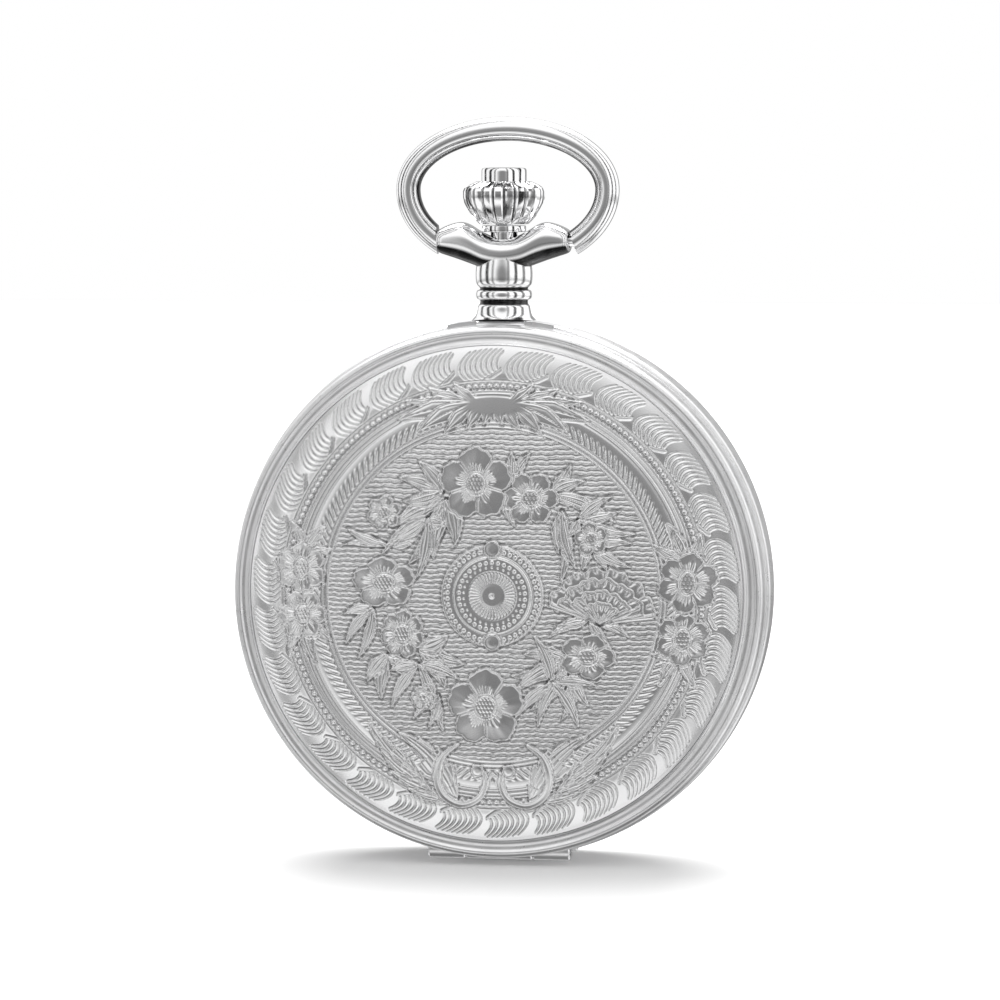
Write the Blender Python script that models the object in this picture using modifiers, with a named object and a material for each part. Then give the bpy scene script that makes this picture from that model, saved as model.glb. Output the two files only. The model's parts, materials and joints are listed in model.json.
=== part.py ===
"""Hunter pocket watch, in metres: +Z runs up through the crown, the lids face -Y (front) and +Y (back).

Most pieces lie in layers across the watch, so they are drawn as (x, z) plans at a depth: the
distance forward from the back cover's flat face, which is the world's -y. Lengths below are in mm.
"""

from math import acos, atan2, cos, degrees, hypot, pi, radians, sin

import bpy
from mathutils import Matrix

MM = 0.001

# Case
CASE_R = 23.5
CASE_STEPS = 40
BAND_BACK, BAND_FRONT = 4.2, 9.0
BAND_INNER_R = 21.2
LID_R = 23.05
LID_INNER_R = 21.7
PANEL_R = 21.4
LID_FOOT, LID_TOP = 9.15, 13.6
COVER_FOOT = 4.05
COVER_FLAT_R = 16.0
COVER_WALL = 0.9

# Hinges at 6 o'clock
HINGE_Z = -22.6
LID_HINGE_DEPTH, BACK_HINGE_DEPTH = 9.1, 4.1
KNUCKLE_R, PIN_R, PIN_HOLE_R = 0.8, 0.34, 0.42
KNUCKLE_HALF, HINGE_HALF = 2.9, 6.2

# Pendant, crown and bow, all round the winding stem's axis
STEM_DEPTH = 6.6
BOW_PIVOT_Z = 30.2
BOW_X, BOW_HALF, BOW_WIRE_R = 0.3, 8.66, 1.08
BOW_MID_Z, BOW_RISE, BOW_DROP = 34.6, 5.17, 6.07
PENDANT_HALF = 5.7
CROWN_R, CROWN_FLUTES = 3.45, 16

# Movement
PLATE_R = 17.6
PLATE_BACK, PLATE_FRONT = 6.2, 7.3
BRIDGE_BACK, BRIDGE_FRONT = 2.8, 3.8
FOOT_DEPTHS = (BRIDGE_FRONT - 0.1, PLATE_BACK - 0.03)
DIAL_R, DIAL_BACK, DIAL_FRONT = 19.1, 8.25, 8.6
SECONDS_Z = -10.2

# Teeth and modules of the wheel pairs
BARREL_TEETH, CENTER_LEAVES, BARREL_MODULE = 60, 10, 0.252
CENTER_TEETH, THIRD_LEAVES, CENTER_MODULE = 64, 8, 0.2125
THIRD_TEETH, FOURTH_LEAVES, THIRD_MODULE = 60, 8, 0.194
FOURTH_TEETH, ESCAPE_LEAVES, FOURTH_MODULE = 60, 6, 0.1733
RATCHET_TEETH, CROWN_TEETH = 38, 28
CROWN_FACE_TEETH, WINDING_TEETH = 24, 10
CANNON_TEETH, MINUTE_TEETH, MINUTE_LEAVES, HOUR_TEETH = 10, 30, 8, 32
MOTION_MODULE = 0.13
ESCAPE_TEETH, ESCAPE_R = 15, 3.1
STEM_MODULE = 0.283

# Small clearances, holes and angles
RUNNING_GAP = 0.08
ARBOR_HOLE_R, JEWEL_HOLE_R, SCREW_HOLE_R = 0.24, 0.62, 0.5
SCREW_HEAD_BACK = 2.35
CATCH_START, CATCH_END = 60, 94
LIFT_START, LIFT_ANGLE = 250, 290
HOUR_ANGLE, MINUTE_ANGLE, SECOND_ANGLE = 304, 48, 210
SETTING_PIVOT = (-4.2, 14.2)
YOKE_PIVOT = (5.0, 10.2)


def polar(radius, angle, centre=(0, 0)):
    return (centre[0] + radius * cos(radians(angle)), centre[1] + radius * sin(radians(angle)))


def meeting_point(near, near_gap, far, far_gap):
    """The point at these distances from two others, on the right of the way from far to near."""
    gap = hypot(far[0] - near[0], far[1] - near[1])
    swing = acos((near_gap**2 + gap**2 - far_gap**2) / (2 * near_gap * gap))
    way = atan2(far[1] - near[1], far[0] - near[0])
    return (near[0] + near_gap * cos(way + swing), near[1] + near_gap * sin(way + swing))


def pair_gap(module, teeth, others):
    return module * (teeth + others) / 2


# Arbor places in plan (x, z)
CENTER = (0.0, 0.0)
FOURTH = (0.0, SECONDS_Z)
THIRD = meeting_point(
    CENTER,
    pair_gap(CENTER_MODULE, CENTER_TEETH, THIRD_LEAVES),
    FOURTH,
    pair_gap(THIRD_MODULE, THIRD_TEETH, FOURTH_LEAVES),
)
ESCAPE = polar(pair_gap(FOURTH_MODULE, FOURTH_TEETH, ESCAPE_LEAVES), 199.4, FOURTH)
BARREL = polar(pair_gap(BARREL_MODULE, BARREL_TEETH, CENTER_LEAVES), 15, CENTER)
CROWN_WHEEL = (0.0, 10.2)
BALANCE = (-9.4, -4.6)
PALLET = meeting_point(BALANCE, 4.7, ESCAPE, 3.95)
PALLET_FOOT = polar(3.3, 200, PALLET)
MINUTE = polar(pair_gap(MOTION_MODULE, CANNON_TEETH, MINUTE_TEETH), 40, CENTER)
CLICK = polar(9.2, 100, BARREL)
CLICK_NOSE = polar(7.02, 84, BARREL)
SCREWS = {
    "barrel_bridge_screw_1": polar(16.2, 66),
    "barrel_bridge_screw_2": polar(16.3, -22),
    "train_bridge_screw_1": polar(16.3, -43.5),
    "train_bridge_screw_2": polar(16.3, -137.5),
    "balance_cock_screw": polar(16.1, 168),
}
JEWELS = {
    "third_jewel": THIRD,
    "fourth_jewel": FOURTH,
    "escape_jewel": ESCAPE,
    "balance_jewel": BALANCE,
}
WINDING_MODULE = 2 * hypot(BARREL[0] - CROWN_WHEEL[0], BARREL[1] - CROWN_WHEEL[1]) / (
    RATCHET_TEETH + CROWN_TEETH
)

COLOURS = {
    "silver": ((0.80, 0.80, 0.81), 0.22, 1.0),
    "engraved_silver": ((0.62, 0.62, 0.63), 0.35, 1.0),
    "bright_steel": ((0.75, 0.76, 0.78), 0.15, 1.0),
    "spring_steel": ((0.35, 0.38, 0.42), 0.3, 1.0),
    "blued_steel": ((0.05, 0.08, 0.30), 0.2, 1.0),
    "nickel": ((0.70, 0.69, 0.66), 0.3, 1.0),
    "brass": ((0.78, 0.58, 0.25), 0.25, 1.0),
    "ruby": ((0.60, 0.03, 0.10), 0.1, 0.0),
    "enamel": ((0.93, 0.92, 0.88), 0.3, 0.0),
    "crystal": ((0.92, 0.95, 0.96), 0.03, 0.0),
}


def clear_scene():
    for obj in list(bpy.data.objects):
        bpy.data.objects.remove(obj, do_unlink=True)


def new_collection(name):
    collection = bpy.data.collections.new(name)
    bpy.context.scene.collection.children.link(collection)
    return collection


def make_material(name, colour, roughness, metallic):
    material = bpy.data.materials.new(name)
    material.use_nodes = True
    shader = material.node_tree.nodes["Principled BSDF"]
    shader.inputs["Base Color"].default_value = (*colour, 1.0)
    shader.inputs["Roughness"].default_value = roughness
    shader.inputs["Metallic"].default_value = metallic
    return material


clear_scene()
PARTS = new_collection("hunter_pocket_watch")
CUTTERS = new_collection("cutters")
MATERIALS = {name: make_material(name, *look) for name, look in COLOURS.items()}

# Local z points forward (-y) and local y points up, as a watch lies on a bench.
ACROSS = Matrix.Rotation(radians(90), 4, "X")
UPWARD = Matrix.Identity(4)
SIDEWAYS = Matrix.Rotation(radians(90), 4, "Y")


def place(obj, turn, at):
    obj.matrix_world = Matrix.Translation([MM * value for value in at]) @ turn
    return obj


def across(plan=(0, 0)):
    """The place of a layer whose own depths count from the back cover's face."""
    return ACROSS, (plan[0], 0, plan[1])


def on_stem():
    """The place of a piece on the stem's axis, whose own heights count from the hands' axis."""
    return UPWARD, (0, -STEM_DEPTH, 0)


def keep(obj, material):
    PARTS.objects.link(obj)
    obj.data.materials.append(MATERIALS[material])
    return obj


def helper(obj):
    CUTTERS.objects.link(obj)
    obj.hide_render = True
    obj.display_type = "WIRE"
    return obj


def turned(name, profile, where, steps=48):
    """A profile of (radius, height) points round an axis. It runs down its outer side."""
    closed = profile[0][0] > 0 and profile[-1][0] > 0
    count = len(profile)
    edges = [(i, (i + 1) % count) for i in range(count if closed else count - 1)]
    mesh = bpy.data.meshes.new(name)
    mesh.from_pydata([(MM * r, 0, MM * h) for r, h in profile], edges, [])
    obj = bpy.data.objects.new(name, mesh)
    screw = obj.modifiers.new("Turn", "SCREW")
    screw.steps = screw.render_steps = steps
    screw.use_merge_vertices = True
    screw.merge_threshold = 1e-6
    screw.use_smooth_shade = True
    return place(obj, *where)


def rod(name, radius, low, high, where, steps=16):
    return turned(name, [(0, high), (radius, high), (radius, low), (0, low)], where, steps)


def tube(name, outer, inner, low, high, where, steps=48):
    profile = [(inner, high), (outer, high), (outer, low), (inner, low)]
    return turned(name, profile, where, steps)


def to_mesh_object(curve_object):
    """The curve's shape as a welded mesh, which a Boolean can take."""
    bpy.context.scene.collection.objects.link(curve_object)
    bpy.context.view_layer.update()
    graph = bpy.context.evaluated_depsgraph_get()
    mesh = bpy.data.meshes.new_from_object(curve_object.evaluated_get(graph))
    name = curve_object.name
    turn = curve_object.matrix_world.copy()
    bpy.data.objects.remove(curve_object, do_unlink=True)
    solid = bpy.data.objects.new(name, mesh)
    solid.matrix_world = turn
    weld = solid.modifiers.new("Weld", "WELD")
    weld.merge_threshold = 1e-6
    return solid


def slab(name, outlines, low, high, where):
    """A flat piece: its first outline is the edge and the others are holes, at these depths."""
    curve = bpy.data.curves.new(name, "CURVE")
    curve.dimensions = "2D"
    curve.fill_mode = "BOTH"
    curve.extrude = MM * (high - low) / 2
    for outline in outlines:
        spline = curve.splines.new("POLY")
        spline.points.add(len(outline) - 1)
        for point, (x, y) in zip(spline.points, outline):
            point.co = (MM * x, MM * y, 0, 1)
        spline.use_cyclic_u = True
    obj = bpy.data.objects.new(name, curve)
    turn, at = where
    place(obj, turn, at)
    obj.matrix_world = obj.matrix_world @ Matrix.Translation((0, 0, MM * (low + high) / 2))
    return to_mesh_object(obj)


def block(name, low, high):
    """A box between two world corners (x, y, z)."""
    corners = [(low[0], low[1]), (high[0], low[1]), (high[0], high[1]), (low[0], high[1])]
    return slab(name, [corners], low[2], high[2], (UPWARD, (0, 0, 0)))


def join(obj, *others, solver="EXACT"):
    for other in others:
        union = obj.modifiers.new("Join", "BOOLEAN")
        union.operation = "UNION"
        union.solver = solver
        union.object = helper(other)
    return obj


def cut(obj, *others, solver="EXACT"):
    for other in others:
        if other.name not in CUTTERS.objects:
            helper(other)
        difference = obj.modifiers.new("Cut", "BOOLEAN")
        difference.operation = "DIFFERENCE"
        difference.solver = solver
        difference.object = other
    return obj


# Plans


def circle(radius, centre=(0, 0), count=24, start=0.0):
    return [polar(radius, start + 360 * i / count, centre) for i in range(count)]


def arc(radius, start, end, count, centre=(0, 0)):
    return [polar(radius, start + (end - start) * i / (count - 1), centre) for i in range(count)]


def ring_sector(inner, outer, start, end, count=10):
    return arc(outer, start, end, count) + arc(inner, end, start, count)


def teeth(count, module, phase, centre=(0, 0), addendum=0.7, dedendum=1.0):
    """A wheel's edge, one point at each tooth's tip and one at each root; phase is a tip's angle."""
    middle = module * count / 2
    outline = []
    for i in range(count):
        outline.append(polar(middle + addendum * module, phase + 360 * i / count, centre))
        outline.append(polar(middle - dedendum * module, phase + 360 * (i + 0.5) / count, centre))
    return outline


def windows(inner, outer, arms, arm_width, centre=(0, 0)):
    """The openings between a wheel's arms."""
    found = []
    for i in range(arms):
        first, last = 360 * i / arms, 360 * (i + 1) / arms
        near = degrees(arm_width / 2 / inner)
        far = degrees(arm_width / 2 / outer)
        found.append(
            arc(outer, first + far, last - far, 4, centre)
            + arc(inner, last - near, first + near, 2, centre)
        )
    return found


def mesh_phases(first, second, count):
    """Angles that put a tooth of the first wheel in a gap of the second, which has this many."""
    way = degrees(atan2(second[1] - first[1], second[0] - first[0]))
    return way, way + 180 + 180 / count


CENTER_WHEEL_PHASE, THIRD_PINION_PHASE = mesh_phases(CENTER, THIRD, THIRD_LEAVES)
THIRD_WHEEL_PHASE, FOURTH_PINION_PHASE = mesh_phases(THIRD, FOURTH, FOURTH_LEAVES)
FOURTH_WHEEL_PHASE, ESCAPE_PINION_PHASE = mesh_phases(FOURTH, ESCAPE, ESCAPE_LEAVES)
BARREL_PHASE, CENTER_PINION_PHASE = mesh_phases(BARREL, CENTER, CENTER_LEAVES)
RATCHET_PHASE, CROWN_PHASE = mesh_phases(BARREL, CROWN_WHEEL, CROWN_TEETH)
MINUTE_PHASE, CANNON_PHASE = mesh_phases(MINUTE, CENTER, CANNON_TEETH)
MINUTE_PINION_PHASE, HOUR_PHASE = mesh_phases(MINUTE, CENTER, HOUR_TEETH)
HOUR_MODULE = 2 * hypot(*MINUTE) / (MINUTE_LEAVES + HOUR_TEETH)


# Case


def lid_outside():
    """(radius, distance below the panel's top): a domed panel, a hollow and a rolled rim."""
    return [
        (0, 0),
        (8, 0.1),
        (14, 0.33),
        (18, 0.72),
        (PANEL_R, 1.5),
        (21.9, 1.72),
        (22.3, 1.55),
        (22.7, 1.7),
        (LID_R, 3.0),
    ]


def cover_outside():
    """(radius, distance from the flat face) of the back cover, the same rim round a flat panel."""
    return [
        (0, 0),
        (COVER_FLAT_R, 0),
        (19.2, 0.35),
        (PANEL_R, 1.0),
        (21.9, 1.25),
        (22.3, 1.08),
        (22.7, 1.25),
        (LID_R, 2.5),
    ]


def barrel_on_hinge(name, half, depth, middle=0.0, radius=KNUCKLE_R, steps=16):
    where = (SIDEWAYS, (middle, -depth, HINGE_Z))
    return rod(name, radius, -half, half, where, steps)


def hinge_web(name, low_x, high_x, depth_low, depth_high, z_low, z_high):
    return block(name, (low_x, -depth_high, z_low), (high_x, -depth_low, z_high))


def relief_ends(side):
    """Where the room for the band's knuckle starts and ends, beside a lid's own knuckle."""
    near, far = KNUCKLE_HALF + RUNNING_GAP / 4, HINGE_HALF + RUNNING_GAP
    return (near, far) if side > 0 else (-far, -near)


def make_front_lid():
    outside = [(r, LID_TOP - drop) for r, drop in lid_outside()]
    inside = [
        (22.9, LID_FOOT),
        (LID_INNER_R, LID_FOOT),
        (LID_INNER_R, 11.2),
        (18, 12.05),
        (12, 12.5),
        (0, 12.75),
    ]
    rim = [(LID_R, LID_FOOT + 0.15)]
    lid = turned("front_lid", outside + rim + inside, across(), CASE_STEPS)
    join(
        lid,
        hinge_web("lid_hinge_web", -KNUCKLE_HALF, KNUCKLE_HALF, 8.95, 10.1, -23.0, -21.9),
        barrel_on_hinge("lid_knuckle", KNUCKLE_HALF, LID_HINGE_DEPTH),
    )
    for side in (-1, 1):
        low, high = relief_ends(side)
        cut(lid, hinge_web(f"lid_hinge_relief_{side}", low, high, 8.0, 10.0, -24.0, -21.6))
    cut(lid, barrel_on_hinge("lid_pin_hole", 4, LID_HINGE_DEPTH, radius=PIN_HOLE_R))
    return keep(lid, "engraved_silver")


def make_back_cover():
    outside = [(r, depth) for r, depth in cover_outside()]
    inside = [
        (0, COVER_WALL),
        (15.5, COVER_WALL),
        (19, 1.3),
        (LID_INNER_R, 2.3),
        (LID_INNER_R, COVER_FOOT),
        (22.9, COVER_FOOT),
        (LID_R, COVER_FOOT - 0.15),
    ]
    cover = turned("back_cover", inside + outside[::-1], across(), CASE_STEPS)
    join(
        cover,
        hinge_web("cover_hinge_web", -KNUCKLE_HALF, KNUCKLE_HALF, 3.1, 4.25, -23.0, -21.9),
        barrel_on_hinge("cover_knuckle", KNUCKLE_HALF, BACK_HINGE_DEPTH),
    )
    for side in (-1, 1):
        low, high = relief_ends(side)
        cut(cover, hinge_web(f"cover_hinge_relief_{side}", low, high, 3.2, 5.2, -24.0, -21.6))
    cut(cover, barrel_on_hinge("cover_pin_hole", 4, BACK_HINGE_DEPTH, radius=PIN_HOLE_R))
    return keep(cover, "engraved_silver")


def make_case_band():
    middle = (BAND_BACK + BAND_FRONT) / 2
    profile = [
        (BAND_INNER_R, BAND_FRONT),
        (23.1, BAND_FRONT),
        (23.42, 8.2),
        (CASE_R, middle),
        (23.42, 5.0),
        (23.1, BAND_BACK),
        (BAND_INNER_R, BAND_BACK),
    ]
    band = turned("case_band", profile, across(), CASE_STEPS)
    cut(band, rod("pendant_socket", 1.75, 20, 25, on_stem(), 16))
    for front, depth in ((1, LID_HINGE_DEPTH), (-1, BACK_HINGE_DEPTH)):
        add_hinge_seat(band, front, depth)
    return keep(band, "silver")


def add_hinge_seat(band, front, depth):
    """A recess in the band's edge with a knuckle near each end, bored for the pin."""
    end = "front" if front > 0 else "back"
    inner = depth - front
    low, high = sorted((inner, depth + front * 0.5))
    reach = HINGE_HALF + 2 * RUNNING_GAP
    cut(band, hinge_web(f"{end}_recess", -reach, reach, low, high, -24.5, -21.5), solver="MANIFOLD")
    half = (HINGE_HALF - KNUCKLE_HALF - RUNNING_GAP) / 2
    for side in (-1, 1):
        middle = side * (KNUCKLE_HALF + HINGE_HALF + RUNNING_GAP) / 2
        foot_low, foot_high = sorted((inner - front * 0.3, depth))
        name = f"{end}_knuckle_{side}"
        inset = half - 0.05
        foot = hinge_web(
            f"{name}_foot", middle - inset, middle + inset, foot_low, foot_high, -23.1, -22.1
        )
        knuckle = barrel_on_hinge(name, half, depth, middle)
        join(band, foot, knuckle, solver="MANIFOLD")
    bore = barrel_on_hinge(f"{end}_pin_hole", 6.3, depth, radius=PIN_HOLE_R)
    cut(band, bore, solver="MANIFOLD")


def make_hinge_pin(name, depth):
    pin = barrel_on_hinge(name, HINGE_HALF - 0.1, depth, radius=PIN_R, steps=12)
    return keep(pin, "bright_steel")


def make_bezel():
    profile = [
        (18.2, 10.6),
        (18.7, 10.9),
        (20.6, 10.4),
        (21.4, 9.6),
        (21.4, BAND_FRONT + 0.06),
        (21.05, BAND_FRONT + 0.06),
        (21.05, 8.75),
        (20.75, 8.75),
        (20.75, BAND_FRONT + 0.06),
        (18.2, 9.3),
    ]
    bezel = turned("bezel", profile, across(), 32)
    seat = rod("crystal_seat", 18.85, 9.75, 10.42, across(), 32)
    cut(bezel, block("catch_notch", (-1.8, -11.5, 19.4), (1.8, -8.5, 22.0)), lift_notch(), seat)
    return keep(bezel, "silver")


def make_crystal():
    profile = [
        (0, 10.75),
        (9, 10.66),
        (15, 10.48),
        (18.1, 10.4),
        (18.8, 10.3),
        (18.8, 9.8),
        (15, 9.9),
        (9, 10.05),
        (0, 10.12),
    ]
    return keep(turned("crystal", profile, across(), 32), "crystal")


def lift_notch():
    """The gap in the bezel that the lift spring's finger passes through."""
    outline = ring_sector(19.7, 22.0, LIFT_ANGLE - 4.5, LIFT_ANGLE + 4.5, 4)
    return slab("lift_notch", [outline], 8.5, 11.5, across())


def make_lock_spring():
    strip = slab(
        "lock_spring",
        [ring_sector(20.0, 20.5, CATCH_START, CATCH_END, 12)],
        6.5,
        8.45,
        across(),
    )
    join(
        strip,
        block("catch_post", (-1.2, -9.9, 20.05), (1.2, -8.3, 20.45)),
        block("catch_nose", (-1.2, -9.9, 20.4), (1.2, -9.5, 21.4)),
    )
    cut(strip, rod("stem_slot", 1.0, 19, 22, on_stem(), 12))
    return keep(strip, "spring_steel")


def make_lift_spring():
    strip = slab(
        "lift_spring",
        [ring_sector(20.0, 20.5, LIFT_START, LIFT_ANGLE + 2, 12)],
        6.5,
        7.9,
        across(),
    )
    finger = ring_sector(20.05, 20.45, LIFT_ANGLE - 2, LIFT_ANGLE + 1.8, 3)
    join(strip, slab("lift_finger", [finger], 7.7, 11.0, across()))
    return keep(strip, "spring_steel")


# Pendant, crown and bow


def make_pendant():
    """Neck with two rings and a flared foot, under a saddle whose ends carry the bow."""
    profile = [
        (0, 29.5),
        (1.9, 29.5),
        (2.43, 27.6),
        (2.43, 26.6),
        (2.15, 26.1),
        (2.4, 25.7),
        (2.4, 25.1),
        (2.15, 24.7),
        (2.45, 23.9),
        (2.6, 23.3),
        (2.6, 22.9),
        (0, 22.9),
    ]
    neck = turned("pendant", profile, on_stem(), 16)
    cut(neck, rod("case_curve", CASE_R + 0.05, 3.5, 9.7, across(), 48))
    right = [(0, 30.45), (1.95, 30.85), (3.65, 31.8)]
    right += [(PENDANT_HALF, 31.3), (PENDANT_HALF, 29.2), (2.4, 27.8)]
    left = [(-x, z) for x, z in right[:0:-1]]
    saddle = slab("saddle", [right + left], STEM_DEPTH - 2.3, STEM_DEPTH + 2.3, across())
    bevel = saddle.modifiers.new("Round", "BEVEL")
    bevel.width = 0.7 * MM
    bevel.segments = 2
    join(neck, saddle, rod("pendant_tail", 1.65, 21.4, 24.5, on_stem(), 16))
    cut(neck, rod("sleeve_bore", 1.25, 26.5, 33, on_stem(), 16))
    cut(neck, rod("stem_bore", 0.95, 20, 27, on_stem(), 16))
    cut(neck, rod("bow_holes", 0.62, -8, 8, (SIDEWAYS, (0, -STEM_DEPTH, BOW_PIVOT_Z)), 12))
    return keep(neck, "silver")


def bow_point(angle):
    rise = BOW_RISE if sin(radians(angle)) > 0 else BOW_DROP
    return (BOW_X + BOW_HALF * cos(radians(angle)), BOW_MID_Z + rise * sin(radians(angle)))


def make_bow():
    """An oval of round wire, cut upright beside the saddle's ends, with a peg in each."""
    curve = bpy.data.curves.new("bow", "CURVE")
    curve.dimensions = "3D"
    curve.bevel_depth = BOW_WIRE_R * MM
    curve.bevel_resolution = 2
    curve.use_fill_caps = True
    spline = curve.splines.new("POLY")
    start, count = -52.0, 26
    spline.points.add(count - 1)
    for i, point in enumerate(spline.points):
        x, z = bow_point(start + (180 - 2 * start) * i / (count - 1))
        point.co = (MM * x, -MM * STEM_DEPTH, MM * z, 1)
    bow = to_mesh_object(bpy.data.objects.new("bow", curve))
    gap = 0.1
    low, high = -STEM_DEPTH - 3, -STEM_DEPTH + 3
    cut(bow, block("bow_gap", (-PENDANT_HALF - gap, low, 27), (PENDANT_HALF + gap, high, 33)))
    for side in (-1, 1):
        where = (SIDEWAYS, (side * (PENDANT_HALF + 0.1), -STEM_DEPTH, BOW_PIVOT_Z))
        join(bow, rod(f"bow_peg_{side}", 0.5, -1.3, 0.8, where, 12))
    return keep(bow, "silver")


def make_crown():
    """An onion crown with flutes, bored for the stem below and the button above."""
    rings = [
        (0.0, 31.65),
        (2.1, 31.65),
        (2.5, 31.8),
        (3.15, 32.6),
        (CROWN_R, 33.5),
        (CROWN_R, 34.5),
        (3.2, 34.95),
        (2.4, 35.3),
        (0.0, 35.3),
    ]
    count = 2 * CROWN_FLUTES
    points, faces = [], []
    for radius, height in rings:
        if radius == 0.0:
            points.append((0, 0, MM * height))
            continue
        for i in range(count):
            flute = 1.045 if i % 2 else 0.965
            if height == rings[-2][1]:
                flute = 1.0
            x, y = polar(radius * flute, 360 * i / count)
            points.append((MM * x, MM * y, MM * height))
    last = len(points) - 1
    for i in range(count):
        after = (i + 1) % count
        faces.append((0, 1 + after, 1 + i))
        for ring in range(len(rings) - 3):
            low, high = 1 + ring * count, 1 + (ring + 1) * count
            faces.append((low + i, low + after, high + after, high + i))
        top = 1 + (len(rings) - 3) * count
        faces.append((top + i, top + after, last))
    mesh = bpy.data.meshes.new("crown")
    mesh.from_pydata(points, [], faces)
    crown = place(bpy.data.objects.new("crown", mesh), *on_stem())
    cut(crown, rod("button_well", 2.08, 34.45, 36, on_stem(), 16))
    cut(crown, rod("crown_bore", 0.85, 31, 33.3, on_stem(), 16))
    cut(crown, rod("button_bore", 0.6, 33, 35, on_stem(), 16))
    return keep(crown, "silver")


def make_push_button():
    profile = [
        (0, 36.5),
        (1.8, 36.5),
        (1.95, 36.35),
        (1.95, 35.2),
        (0.5, 35.2),
        (0.5, 34.1),
        (0, 34.1),
    ]
    return keep(turned("push_button", profile, on_stem(), 16), "silver")


def make_crown_sleeve():
    profile = [(0.85, 31.5), (1.9, 31.5), (1.9, 30.95), (1.15, 30.95), (1.15, 27.0), (0.85, 27.0)]
    return keep(turned("crown_sleeve", profile, on_stem(), 16), "silver")


def make_crown_stem():
    profile = [
        (0, 33.2),
        (0.75, 33.2),
        (0.75, 16.3),
        (0.5, 16.2),
        (0.5, 15.2),
        (0.6, 15.1),
        (0.6, 12.2),
        (0.35, 12.1),
        (0.35, 8.4),
        (0, 8.4),
    ]
    return keep(turned("crown_stem", profile, on_stem(), 12), "bright_steel")


# Movement frame


def make_movement_ring():
    profile = [
        (17.75, 8.0),
        (19.4, 8.0),
        (19.4, 6.2),
        (21.1, 6.2),
        (21.1, 5.5),
        (17.75, 5.5),
    ]
    ring = turned("movement_ring", profile, across(), 32)
    cut(ring, rod("ring_stem_way", 1.0, 15, 25, on_stem(), 12))
    return keep(ring, "nickel")


def arbor_hole(place_of):
    return circle(ARBOR_HOLE_R, place_of, 8)


def make_main_plate():
    """The plate that carries every arbor, with a pocket from its edge for the stem's works."""
    arbors = [THIRD, FOURTH, ESCAPE, PALLET, BALANCE, BARREL]
    holes = [arbor_hole(point) for point in arbors]
    holes += [circle(0.35, CENTER, 8)]
    holes += [circle(SCREW_HOLE_R, point, 8) for point in SCREWS.values()]
    plate = slab(
        "main_plate", [circle(PLATE_R, count=48)] + holes, PLATE_BACK, PLATE_FRONT, across()
    )
    keyless = [(-1.6, 7.9), (1.6, 7.9), (1.6, 18.5), (-1.6, 18.5)]
    lever = [(-5.6, 12.0), (-1.4, 12.0), (-1.4, 17.2), (-5.6, 15.9)]
    yoke = [(1.5, 9.0), (6.0, 9.0), (6.0, 14.6), (1.5, 14.6)]
    cut(plate, slab("keyless_pocket", [keyless], 5, 9, across()))
    cut(plate, slab("lever_pocket", [lever], 6.85, 9, across()))
    cut(plate, slab("yoke_pocket", [yoke], 6.85, 9, across()))
    return keep(plate, "nickel")


def bridge(name, plan, feet, holes, screws):
    """A raised plate on feet at the movement's edge, each foot bored for its screw."""
    plate = slab(name, [plan] + holes, BRIDGE_BACK, BRIDGE_FRONT, across())
    for i, foot in enumerate(feet):
        join(plate, slab(f"{name}_foot_{i}", [foot], *FOOT_DEPTHS, across()))
    for key in screws:
        cut(plate, rod(f"{key}_hole", SCREW_HOLE_R, 2, PLATE_FRONT, across(SCREWS[key]), 8))
    return keep(plate, "nickel")


def make_barrel_bridge():
    plan = arc(17.3, -27, 121, 20)
    plan += [polar(6.0, 121), polar(2.6, 160), polar(2.4, -120), polar(6.0, -32)]
    feet = [ring_sector(15.2, 17.25, 60, 72, 3), ring_sector(15.3, 17.25, -26.5, -17, 3)]
    holes = [circle(0.9, BARREL, 12), circle(0.75, CROWN_WHEEL, 12), arbor_hole(CENTER)]
    screws = ("barrel_bridge_screw_1", "barrel_bridge_screw_2")
    return bridge("barrel_bridge", plan, feet, holes, screws)


def make_train_bridge():
    plan = arc(17.3, -144, -36, 16)
    plan += [polar(6.2, -38), polar(3.4, -75), polar(8.6, -112), polar(11.8, -142)]
    feet = [ring_sector(15.4, 17.25, -50, -37, 3), ring_sector(15.4, 17.25, -142, -133, 3)]
    holes = [circle(JEWEL_HOLE_R, point, 12) for point in (THIRD, FOURTH, ESCAPE)]
    screws = ("train_bridge_screw_1", "train_bridge_screw_2")
    return bridge("train_bridge", plan, feet, holes, screws)


def make_balance_cock():
    """An arm from the edge to the balance's pivot, with a round end."""
    root = SCREWS["balance_cock_screw"]
    reach = hypot(BALANCE[0] - root[0], BALANCE[1] - root[1])
    way = degrees(atan2(BALANCE[1] - root[1], BALANCE[0] - root[0]))
    plan = (
        [towards(root, BALANCE, 0.3, 2.0), towards(root, BALANCE, 0.3, -2.0)]
        + [towards(root, BALANCE, reach - 1.2, -1.3)]
        + arc(1.7, way - 70, way + 70, 7, BALANCE)
        + [towards(root, BALANCE, reach - 1.2, 1.3)]
    )
    hole = circle(JEWEL_HOLE_R, BALANCE, 12)
    head = ring_sector(14.6, 17.3, 159, 177, 4)
    foot = ring_sector(14.9, 17.2, 160, 176, 3)
    cock = slab("balance_cock", [plan, hole], BRIDGE_BACK, BRIDGE_FRONT, across())
    join(
        cock,
        slab("cock_head", [head], BRIDGE_BACK, BRIDGE_FRONT, across()),
        slab("cock_foot", [foot], *FOOT_DEPTHS, across()),
    )
    cut(cock, rod("cock_screw_hole", SCREW_HOLE_R, 2, PLATE_FRONT, across(root), 8))
    return keep(cock, "nickel")


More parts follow.
